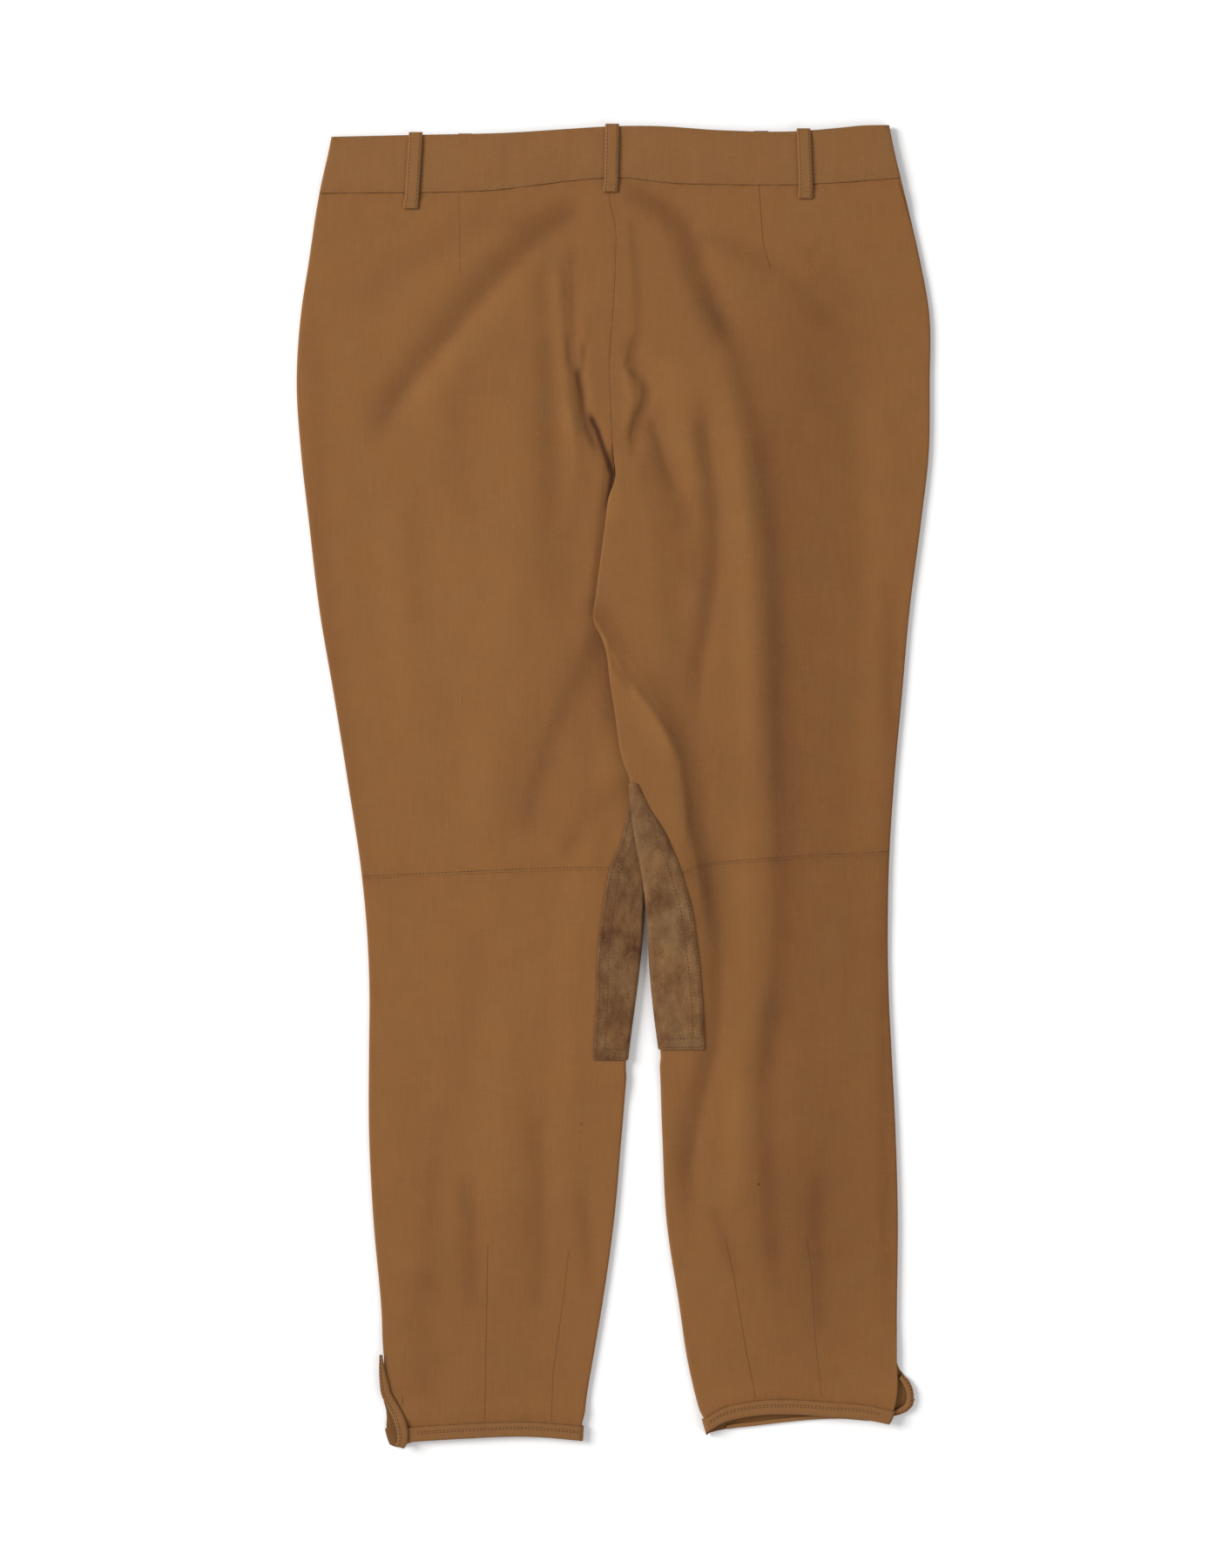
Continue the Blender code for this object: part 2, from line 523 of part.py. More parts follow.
def grid_mesh(name, x, y, z, flip):
    """A grid of faces bent to the given points. Its faces point up, or down if flipped."""
    rows, columns = x.shape
    shape = bmesh.new()
    bmesh.ops.create_grid(shape, x_segments=columns - 1, y_segments=rows - 1, size=0.5)
    for vertex in shape.verts:
        column = round((vertex.co.x + 0.5) * (columns - 1))
        row = round((0.5 - vertex.co.y) * (rows - 1))
        vertex.co = (x[row, column] - MIDDLE_X, y[row, column] - MIDDLE_Y, z[row, column])
    if flip:
        bmesh.ops.reverse_faces(shape, faces=shape.faces)
    mesh = bpy.data.meshes.new(name)
    shape.to_mesh(mesh)
    shape.free()
    return mesh


def cloth(name, points, thickness, material, face_down=False):
    """One piece of cloth: its outer skin, with the wall's thickness laid on the inner side."""
    mesh = grid_mesh(name, *points, face_down)
    mesh.shade_smooth()
    piece = bpy.data.objects.new(name, mesh)
    bpy.context.scene.collection.objects.link(piece)
    piece.data.materials.append(material)
    wall = piece.modifiers.new("Wall", "SOLIDIFY")
    wall.thickness = thickness
    wall.offset = -1.0
    wall.use_even_offset = True
    return piece


def lowered(line, by):
    return tuple((x, y - by) for x, y in line)


def leg_panels(leg, twill):
    """The back thigh, back calf and front of one leg."""
    thigh = row_places(THIGH_ROWS)
    calf = row_places(CALF_ROWS)
    waist = lowered(WAIST_SEAM, WAIST_GAP / 2)
    over_knee, under_knee = lowered(leg.knee, -SEAM / 2), lowered(leg.knee, SEAM / 2)
    hem = lowered(leg.back_hem, -HEM_TURN)
    front_hem = lowered(leg.front_hem, -HEM_TURN)
    cloth(f"back_thigh_{leg.side}", leg.grid(thigh, waist, over_knee, leg.back_vent, "upper"), CLOTH, twill)
    cloth(f"back_calf_{leg.side}", leg.grid(calf, under_knee, hem, leg.back_vent, "upper"), CLOTH, twill)
    upper = leg.grid(thigh, waist, leg.knee, leg.front_vent, "lower")
    lower = leg.grid(calf, leg.knee, front_hem, leg.front_vent, "lower")
    points = [np.vstack([a, b[1:]]) for a, b in zip(upper, lower)]
    cloth(f"front_{leg.side}", points, CLOTH, twill, face_down=True)


def knee_patch(leg, suede):
    """A knee's suede patch, from its edge on the front, round the inner edge, to its edge on the back."""
    rows = row_places(PATCH_ROWS)[:, None]
    y = PATCH_TOP_Y + (rows - PATCH_TOP_Y) * (leg.patch_foot - PATCH_TOP_Y) / (rows[-1] - PATCH_TOP_Y)
    cloth_edge = leg.inner_x(y)
    half, middle = leg.edge_stack(cloth_edge, y)
    turn, turn_z = turned_edge(half, PATCH_STACK)
    width = through(leg.patch, y) - PATCH_STACK
    near = turn[:, 2:] + np.minimum(NEAR_INNER[0], (width - turn[:, 2:]) * PATCH_REACHES[2])
    reaches = np.hstack([near + (width - near) * share for share in PATCH_REACHES])
    skin_x = cloth_edge - leg.inward * reaches
    skin_y = np.repeat(y, len(PATCH_REACHES), axis=1)
    turn_x = cloth_edge - leg.inward * turn[:, ::-1]
    turn_y = np.repeat(y, 2, axis=1)
    front = (skin_x, skin_y, leg.low(skin_x, skin_y) - PATCH_STACK)
    front_turn = (turn_x[:, :2], turn_y, middle - turn_z[:, :0:-1])
    back_turn = (turn_x[:, 1::-1], turn_y, middle + turn_z[:, 1:])
    back = (skin_x[:, ::-1], skin_y, (leg.top(skin_x, skin_y) + PATCH_STACK)[:, ::-1])
    points = [np.hstack(columns) for columns in zip(front, front_turn, back_turn, back)]
    cloth(f"knee_patch_{leg.side}", points, SUEDE, suede, face_down=not leg.right)


def waistband_points(x_from, x_to, skin, cells):
    """One stretch of the waistband: rows from its top edge to the waist seam.

    An end with no x is turned at the leg's outer edge.
    """
    half = np.full((BAND_ROWS + 1, 1), BAND_HEIGHT / 2)
    turn, turn_z = turned_edge(half, 0.0)
    share = np.linspace(0, 1, BAND_ROWS + 1)[:, None]
    above, below = through(WAIST_TOP, 0.0), through(WAIST_SEAM, 0.0)
    y = np.repeat(above + (below - above) * share, 2, axis=1)
    x = None
    for _ in range(SETTLING):
        first = np.full_like(half, x_from) if x_from is not None else LEFT.outer_x(y[:, :1], ()) + turn
        final = np.full_like(half, x_to) if x_to is not None else RIGHT.outer_x(y[:, -1:], ()) - turn[:, ::-1]
        places = np.linspace(0, 1, cells + 1)[1:-1]
        middle = first[:, -1:] + (final[:, :1] - first[:, -1:]) * places
        x = np.hstack([first, middle, final])
        above, below = through(WAIST_TOP, x), through(WAIST_SEAM, x) + WAIST_GAP / 2
        y = above + (below - above) * share
    sign = 1.0 if skin == "upper" else -1.0
    heights = np.full_like(x, BAND_HEIGHT / 2)
    if x_from is None:
        heights[:, : turn.shape[1]] = turn_z
    if x_to is None:
        heights[:, -turn.shape[1] :] = turn_z[:, ::-1]
    return x, y, BAND_LIFT + BAND_HEIGHT / 2 + sign * heights


def waistband(twill):
    cloth("waistband_back", waistband_points(None, None, "upper", 2 * BAND_CELLS), BAND_CLOTH, twill)
    left = waistband_points(None, -SEAM / 2, "lower", BAND_CELLS)
    cloth("waistband_front_left", left, BAND_CLOTH, twill, face_down=True)
    right = waistband_points(SEAM / 2, None, "lower", BAND_CELLS)
    cloth("waistband_front_right", right, BAND_CLOTH, twill, face_down=True)


def belt_loop(row, twill):
    """A strip that stands a little off the band, sewn at its top and at its folded foot."""
    name, top_x, top_y, foot_x, foot_y, on_back = row
    share = np.array(LOOP_ALONG)[:, None]
    across = np.array(LOOP_ACROSS) * LOOP_WIDTH
    y = np.repeat(top_y + (foot_y - top_y) * share, len(across), axis=1)
    x = top_x + (foot_x - top_x) * share + across
    arch = LOOP_STAND * rise(share, 0.0, 0.2) * rise(share, 1.0, 0.75) + np.array(LOOP_CROWN)
    if on_back:
        leg = RIGHT if top_x > 0 else LEFT
        under = np.maximum(BAND_LIFT + BAND_HEIGHT, leg.top(x, y))
        cloth(name, (x, y, under + SEAM + CLOTH + arch), CLOTH, twill)
    else:
        z = BAND_LIFT - 2 * SEAM - CLOTH - FRONT_LOOP_PRESS * arch
        cloth(name, (x, y, z), CLOTH, twill, face_down=True)


def hem_band_points(leg, on_back):
    """The binding of a hem: a strip on the outer side of the panel's lower edge, turned at the inner edge."""
    line = leg.back_hem if on_back else leg.front_hem
    vent = leg.back_vent if on_back else leg.front_vent
    sign = 1.0 if on_back else -1.0
    share = np.array([0.0, 0.5, 1.0])[:, None]
    y = np.repeat(through(line, 0.0) + HEM_BAND * (1.0 - share), 2, axis=1)
    x, turn_z, middle = None, None, None
    for _ in range(SETTLING):
        inner_y, outer_y = (y[:, :1], y[:, -1:]) if leg.right else (y[:, -1:], y[:, :1])
        cloth_edge = leg.inner_x(inner_y)
        half, middle = leg.edge_stack(cloth_edge, inner_y)
        turn, turn_z = turned_edge(half, HEM_STACK)
        turn_x = cloth_edge - leg.inward * turn
        stop = leg.outer_x(outer_y, vent) - leg.inward * HEM_OVERHANG
        run = turn_x[:, -1:] + (stop - turn_x[:, -1:]) * np.linspace(0, 1, HEM_CELLS + 1)[1:]
        x = np.hstack([turn_x, run])
        x = x if leg.right else x[:, ::-1]
        y = through(line, x) + HEM_BAND * (1.0 - share)
    z = leg.top(x, y) + HEM_STACK if on_back else leg.low(x, y) - HEM_STACK
    turned = middle + sign * turn_z
    if leg.right:
        z[:, : turned.shape[1]] = turned
    else:
        z[:, -turned.shape[1] :] = turned[:, ::-1]
    return x, y, z


def hem_bands(leg, twill):
    cloth(f"hem_band_back_{leg.side}", hem_band_points(leg, True), BINDING, twill)
    cloth(f"hem_band_front_{leg.side}", hem_band_points(leg, False), BINDING, twill, face_down=True)


def vent_binding(leg, strip, twill):
    """The bound edge of a vent as a strip along its route, crowned across its width.

    The left one lies on the back panel and its hem, the right one on the inner side of the front.
    """
    rows = np.array(strip)
    middle, half = rows[:, :2], rows[:, 2:3]
    ahead = np.gradient(middle, axis=0)
    ahead /= np.linalg.norm(ahead, axis=1)[:, None]
    across = np.array([-1.0, -0.4, 0.4, 1.0])
    x = middle[:, :1] - ahead[:, 1:2] * half * across
    y = middle[:, 1:2] + ahead[:, :1] * half * across
    if leg.right:
        under = leg.low(x, y) + CLOTH
    else:
        hem_top = through(leg.back_hem, x) + HEM_BAND
        under = leg.top(x, y) + HEM_STACK * rise(y, hem_top + WRAP_FADE, hem_top + WRAP_HOLD)
    z = under + VENT_GAP + BINDING + VENT_CROWN * (1.0 - across**2)
    cloth(f"vent_binding_{leg.side}", (x, y, z), BINDING, twill)


def mesh_object(name, shape):
    mesh = bpy.data.meshes.new(name)
    shape.to_mesh(mesh)
    shape.free()
    made = bpy.data.objects.new(name, mesh)
    bpy.context.scene.collection.objects.link(made)
    return made


def waist_button(horn):
    """A flat button with four holes under the centre front of the band."""
    x, y = -MIDDLE_X, BUTTON_Y - MIDDLE_Y
    disc = bmesh.new()
    bmesh.ops.create_cone(
        disc, cap_ends=True, segments=24, radius1=BUTTON_RADIUS, radius2=BUTTON_RADIUS, depth=BUTTON_THICKNESS
    )
    bmesh.ops.translate(disc, vec=(x, y, BUTTON_THICKNESS / 2), verts=disc.verts)
    button = mesh_object("waist_button", disc)
    button.data.materials.append(horn)
    holes = bmesh.new()
    for hole in range(BUTTON_HOLES):
        angle = 2 * math.pi * (hole + 0.5) / BUTTON_HOLES
        made = bmesh.ops.create_cone(
            holes, cap_ends=True, segments=8, radius1=BUTTON_HOLE_RADIUS, radius2=BUTTON_HOLE_RADIUS,
            depth=3 * BUTTON_THICKNESS,
        )
        place = (x + BUTTON_HOLE_OFFSET * math.cos(angle), y + BUTTON_HOLE_OFFSET * math.sin(angle), 0.0)
        bmesh.ops.translate(holes, vec=place, verts=made["verts"])
    cutter = mesh_object("button_holes", holes)
    cutter.hide_render = True
    cutter.display_type = "WIRE"
    cut = button.modifiers.new("Holes", "BOOLEAN")
    cut.object = cutter
    cut.operation = "DIFFERENCE"
    cut.solver = "EXACT"


def main():
    clear_scene()
    twill = finish("tan twill", TWILL, 0.85)
    band = finish("tan twill band", TWILL_BAND, 0.85)
    suede = finish("tan suede", SUEDE_COLOUR, 0.95)
    horn = finish("dark horn", BUTTON_COLOUR, 0.35)
    for leg in (LEFT, RIGHT):
        leg_panels(leg, twill)
        knee_patch(leg, suede)
        hem_bands(leg, band)
    waistband(band)
    for row in BELT_LOOPS:
        belt_loop(row, band)
    vent_binding(LEFT, LEFT_VENT_STRIP, band)
    vent_binding(RIGHT, RIGHT_VENT_STRIP, band)
    waist_button(horn)


main()
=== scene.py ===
"""Slim trousers laid flat, back side up: the sewn twill, suede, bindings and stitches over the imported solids.

Each solid is replaced by a thin shell of cloth on its form. +X is the wearer's right, +Y runs to the waist
and +Z is up, in metres. Tables of places come as rows with named columns.
"""

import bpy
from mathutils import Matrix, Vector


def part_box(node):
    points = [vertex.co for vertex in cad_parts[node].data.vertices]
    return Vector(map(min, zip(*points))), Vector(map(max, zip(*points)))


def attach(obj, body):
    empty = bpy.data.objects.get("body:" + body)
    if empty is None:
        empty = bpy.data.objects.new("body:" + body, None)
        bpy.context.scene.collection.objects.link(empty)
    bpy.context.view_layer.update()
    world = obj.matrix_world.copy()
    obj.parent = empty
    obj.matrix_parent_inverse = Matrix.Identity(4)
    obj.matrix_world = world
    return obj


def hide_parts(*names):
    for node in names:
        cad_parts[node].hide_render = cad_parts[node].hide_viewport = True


bl_info = {
    "name": "Slim trousers laid flat",
    "version": (1, 0, 0),
    "blender": (4, 5, 0),
    "location": "View3D > Sidebar > Trousers",
    "description": "Dresses the packed trousers in twill, suede, bindings and stitches, and sets the stage",
    "category": "Object",
}

import math
import random

import bmesh
import bpy
import numpy as np
from bpy.props import FloatProperty, FloatVectorProperty, IntProperty, PointerProperty
from bpy.types import Operator, Panel, PropertyGroup
from mathutils import Matrix, Vector

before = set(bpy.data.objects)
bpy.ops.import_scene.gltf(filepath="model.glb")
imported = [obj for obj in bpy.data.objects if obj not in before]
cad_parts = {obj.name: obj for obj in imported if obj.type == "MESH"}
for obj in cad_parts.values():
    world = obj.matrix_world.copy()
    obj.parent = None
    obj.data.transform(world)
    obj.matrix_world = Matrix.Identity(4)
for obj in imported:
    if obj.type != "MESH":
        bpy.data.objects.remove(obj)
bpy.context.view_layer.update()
BODY = "root"

# The middle of the outline in the tables below. It stands over the origin.
MIDDLE_X = 0.0002
MIDDLE_Y = 0.0009

# The solids' walls and clearances
SUEDE = 0.0011
BINDING = 0.0013
SEAM = 0.0003
CLOSE = 0.00004
CROTCH_TUCK = 0.0010
TUCK_HEAD = (0.2500, 0.2440)
TUCK_FOOT = (0.2318, 0.2330)
KNEE_ROLL = 0.3
KNEE_RUFFLE = 0.35
PATCH_GAP = 0.0005
VENT_GAP = 0.0005
CLOTH = 0.0011

# Heights of the layers of a leg
LEG_HEIGHT = 0.0046
PRESSED_HEIGHT = 0.0030
LEAST_HEIGHT = 0.0025
MOST_HEIGHT = 0.0067
CREASED_HEIGHT = 0.0023
PATCH_STACK = SUEDE + PATCH_GAP
HEM_STACK = BINDING + SEAM
BAND_LIFT = 0.0021
BAND_HEIGHT = 0.0048
GAPE = 0.0012

# The right leg's lift over the left one: how far it holds past the overlap, and how far it takes to fade
CROSSING_LIFT = PRESSED_HEIGHT + SEAM
CROSSING_LIFT_AT_PATCH = CROSSING_LIFT + 2 * PATCH_STACK
CROSSING_HOLD = 0.014
CROSSING_FADE = 0.026
CROSSING_FADE_AT_PATCH = 0.062

# How far the other lifts hold past what lies under the cloth, and how far they take to fade
PATCH_HOLD = 0.014
PATCH_FADE = 0.022
WAIST_HOLD = 0.013
WAIST_FADE = 0.020
HEM_HOLD = 0.018
HEM_FADE = 0.016
WRAP_HOLD = 0.004
WRAP_FADE = 0.010

# A turned edge: how far it runs in, as a share of half the stack, and its points
RIM_RUN = 0.8
RIM_POINTS = 8
OPEN_EDGE = 0.0032
UPRIGHT_AT = 0.05

# Edges that roll down into a seam: how deep and how far in
ROLL = 0.00012
ROLL_REACH = 0.0013

# Loops, hems and button
LOOP_WIDTH = 0.0105
LOOP_STAND = 0.0009
FRONT_LOOP_PRESS = 0.25
HEM_BAND = 0.011
HEM_TURN = 0.0013
HEM_OVERHANG = 0.0008
BUTTON_HOLE_OFFSET = 0.0016

# Where the legs part, and where their edges open into a vent
CROTCH_Y = 0.232
CROTCH_CLEAR = 0.006
PATCH_TOP_Y = 0.003
LEGS_TOUCH_Y = -0.095
LEGS_APART_Y = -0.170
VENT_TOP_Y = -0.425
CLOSING = 0.028

# The picture: how high the camera stands, the height that it takes in, and its middle on the floor
CAMERA_HEIGHT = 2.2
PICTURE_HEIGHT = 1.188
PICTURE_MIDDLE = (0.0008, 0.0014)

# Outlines: y, x
LEFT_OUTER = (
    (0.500, -0.2118), (0.491, -0.2132), (0.451, -0.2218), (0.4247, -0.2264), (0.3983, -0.2303),
    (0.3587, -0.2363), (0.3059, -0.2396), (0.2531, -0.2363), (0.2003, -0.2303), (0.1343, -0.2224),
    (0.0683, -0.2112), (0.0023, -0.2006), (-0.0637, -0.1907), (-0.1033, -0.1868), (-0.1561, -0.1845),
    (-0.1957, -0.1848), (-0.2617, -0.1848), (-0.3277, -0.1815), (-0.3937, -0.1756), (-0.430, -0.1735),
)
RIGHT_OUTER = (
    (0.500, 0.2088), (0.491, 0.2105), (0.451, 0.2198), (0.4247, 0.2264), (0.3983, 0.2323),
    (0.3587, 0.2392), (0.3059, 0.2396), (0.2531, 0.2389), (0.2003, 0.2330), (0.1343, 0.2244),
    (0.0683, 0.2185), (0.0023, 0.2125), (-0.0637, 0.2086), (-0.1033, 0.2079), (-0.1561, 0.2086),
    (-0.1957, 0.2105), (-0.2617, 0.2138), (-0.3277, 0.2155), (-0.3937, 0.2148), (-0.430, 0.2145),
)
LEFT_BACK_VENT = (
    (-0.4419, -0.1720), (-0.4584, -0.1695), (-0.4663, -0.1650), (-0.4762, -0.1595), (-0.487, -0.1565),
)
LEFT_FRONT_VENT = (
    (-0.450, -0.1745), (-0.465, -0.1739), (-0.473, -0.1716), (-0.488, -0.1716), (-0.500, -0.1680),
)
RIGHT_BACK_VENT = ((-0.4584, 0.2145), (-0.4696, 0.2123), (-0.4788, 0.2092), (-0.484, 0.2055))
RIGHT_FRONT_VENT = (
    (-0.4385, 0.2155), (-0.4440, 0.2190), (-0.4485, 0.2230), (-0.4530, 0.2257), (-0.4590, 0.2274),
    (-0.4650, 0.2270), (-0.4703, 0.2247), (-0.4736, 0.2198), (-0.4770, 0.2110),
)
CENTRE_SEAM = (
    (0.4610, -0.0010), (0.4465, -0.0026), (0.4250, 0.0017), (0.3940, 0.0018), (0.3580, 0.0),
    (0.3220, -0.0026), (0.2800, -0.0013), (0.2530, 0.0), (CROTCH_Y, 0.0013),
)
LEFT_INNER = (
    (0.2190, 0.0060), (0.1900, 0.0110), (0.1500, 0.0150), (0.1100, 0.0175), (0.0600, 0.0200), (0.0200, 0.0225),
    (-0.0200, 0.0240), (-0.0600, 0.0245), (-0.0890, 0.0238), (-0.1145, 0.0224), (-0.1560, 0.0178),
    (-0.1960, 0.0125), (-0.2620, 0.0066), (-0.3280, 0.0007), (-0.3940, -0.0086), (-0.4330, -0.0152),
    (-0.4600, -0.0198), (-0.4860, -0.0224), (-0.4950, -0.0230),
)
RIGHT_INNER = (
    (0.2195, -0.0033), (0.2000, -0.0059), (0.1710, -0.0099), (0.1450, -0.0132), (0.1250, -0.0149),
    (0.1130, -0.0090), (0.1010, -0.0052), (0.0850, -0.0033), (0.0500, 0.0020), (0.0270, 0.0053),
    (0.0085, 0.0104), (-0.0215, 0.0139), (-0.0440, 0.0172), (-0.0660, 0.0215), (-0.0960, 0.0250),
    (-0.1145, 0.0260), (-0.1400, 0.0275), (-0.1730, 0.0308), (-0.1980, 0.0340), (-0.2617, 0.0370),
    (-0.3277, 0.0403), (-0.3937, 0.0502), (-0.4333, 0.0561), (-0.4597, 0.0620), (-0.4860, 0.0693),
)

# Cross seams and hems: x, y
WAIST_SEAM = (
    (-0.221, 0.4485), (-0.158, 0.4490), (-0.122, 0.4495), (-0.088, 0.4510), (-0.055, 0.4550), (-0.021, 0.4590),
    (0.005, 0.4604), (0.042, 0.4564), (0.090, 0.4550), (0.138, 0.4550), (0.180, 0.4572), (0.216, 0.4600),
)
WAIST_TOP = (
    (-0.213, 0.4914), (-0.154, 0.4927), (-0.075, 0.4947), (-0.035, 0.4973), (-0.001, 0.4993), (0.028, 0.4996),
    (0.083, 0.4963), (0.136, 0.4955), (0.169, 0.4980), (0.190, 0.5000), (0.207, 0.5003),
)
LEFT_KNEE_SEAM = ((-0.190, -0.0696), (-0.113, -0.0660), (-0.028, -0.0627), (0.024, -0.0625))
RIGHT_KNEE_SEAM = (
    (0.014, -0.0690), (0.0528, -0.0660), (0.0627, -0.0620), (0.089, -0.0580), (0.123, -0.0555),
    (0.156, -0.0530), (0.190, -0.0520), (0.210, -0.0505),
)
LEFT_BACK_HEM = ((-0.175, -0.4960), (-0.153, -0.4947), (-0.120, -0.4927), (-0.059, -0.4910), (-0.023, -0.4940))
LEFT_FRONT_HEM = (
    (-0.172, -0.4968), (-0.164, -0.4998), (-0.153, -0.4962), (-0.120, -0.4937), (-0.059, -0.4920),
    (-0.023, -0.4945),
)
RIGHT_BACK_HEM = (
    (0.066, -0.4890), (0.071, -0.4870), (0.081, -0.4810), (0.102, -0.4755), (0.132, -0.4736), (0.162, -0.4755),
    (0.192, -0.4780), (0.209, -0.4815),
)
RIGHT_FRONT_HEM = (
    (0.069, -0.4905), (0.0735, -0.4890), (0.1115, -0.4830), (0.172, -0.4782), (0.200, -0.4795),
    (0.2135, -0.4770),
)

# Knee patches: y, width from the inner edge
LEFT_PATCH_WIDTH = (
    (PATCH_TOP_Y, 0.0066), (-0.025, 0.0140), (-0.042, 0.0190), (-0.062, 0.0270), (-0.089, 0.0314),
    (-0.123, 0.0335), (-0.157, 0.0303), (-0.182, 0.0282), (-0.2065, 0.0262),
)
RIGHT_PATCH_WIDTH = (
    (PATCH_TOP_Y, 0.0066), (-0.015, 0.0133), (-0.033, 0.0228), (-0.052, 0.0280), (-0.072, 0.0312),
    (-0.086, 0.0337), (-0.109, 0.0362), (-0.136, 0.0380), (-0.165, 0.0378), (-0.1985, 0.0350),
)
LEFT_PATCH_FOOT_Y = -0.2065
RIGHT_PATCH_FOOT_Y = -0.1985

# Belt loops: name, top x, top y, foot x, foot y, on the back
BELT_LOOPS = (
    ("belt_loop_back_left", -0.1490, 0.4945, -0.1525, 0.4366, True),
    ("belt_loop_back_centre", -0.0007, 0.5008, -0.0017, 0.4493, True),
    ("belt_loop_back_right", 0.1437, 0.4973, 0.1457, 0.4443, True),
    ("belt_loop_front_left", -0.1120, 0.4950, -0.1120, 0.4400, False),
    ("belt_loop_front_right", 0.1120, 0.4970, 0.1120, 0.4440, False),
)

# Bound edges of the vents: x, y, half width
LEFT_VENT_STRIP = (
    (-0.1755, -0.4290, 0.0012), (-0.1748, -0.4399, 0.0022), (-0.1733, -0.4498, 0.0033),
    (-0.1716, -0.4584, 0.0037), (-0.1670, -0.4670, 0.0039), (-0.1617, -0.4769, 0.0041),
    (-0.1590, -0.4861, 0.0041), (-0.1590, -0.4935, 0.0037), (-0.1606, -0.4980, 0.0030),
)
RIGHT_VENT_STRIP = (
    (0.2175, -0.4460, 0.0020), (0.2208, -0.4495, 0.0026), (0.2235, -0.4545, 0.0027),
    (0.2246, -0.4600, 0.0027), (0.2240, -0.4655, 0.0027), (0.2215, -0.4695, 0.0026),
    (0.2165, -0.4722, 0.0024), (0.2120, -0.4738, 0.0020),
)
VENT_CROWN = 0.0005

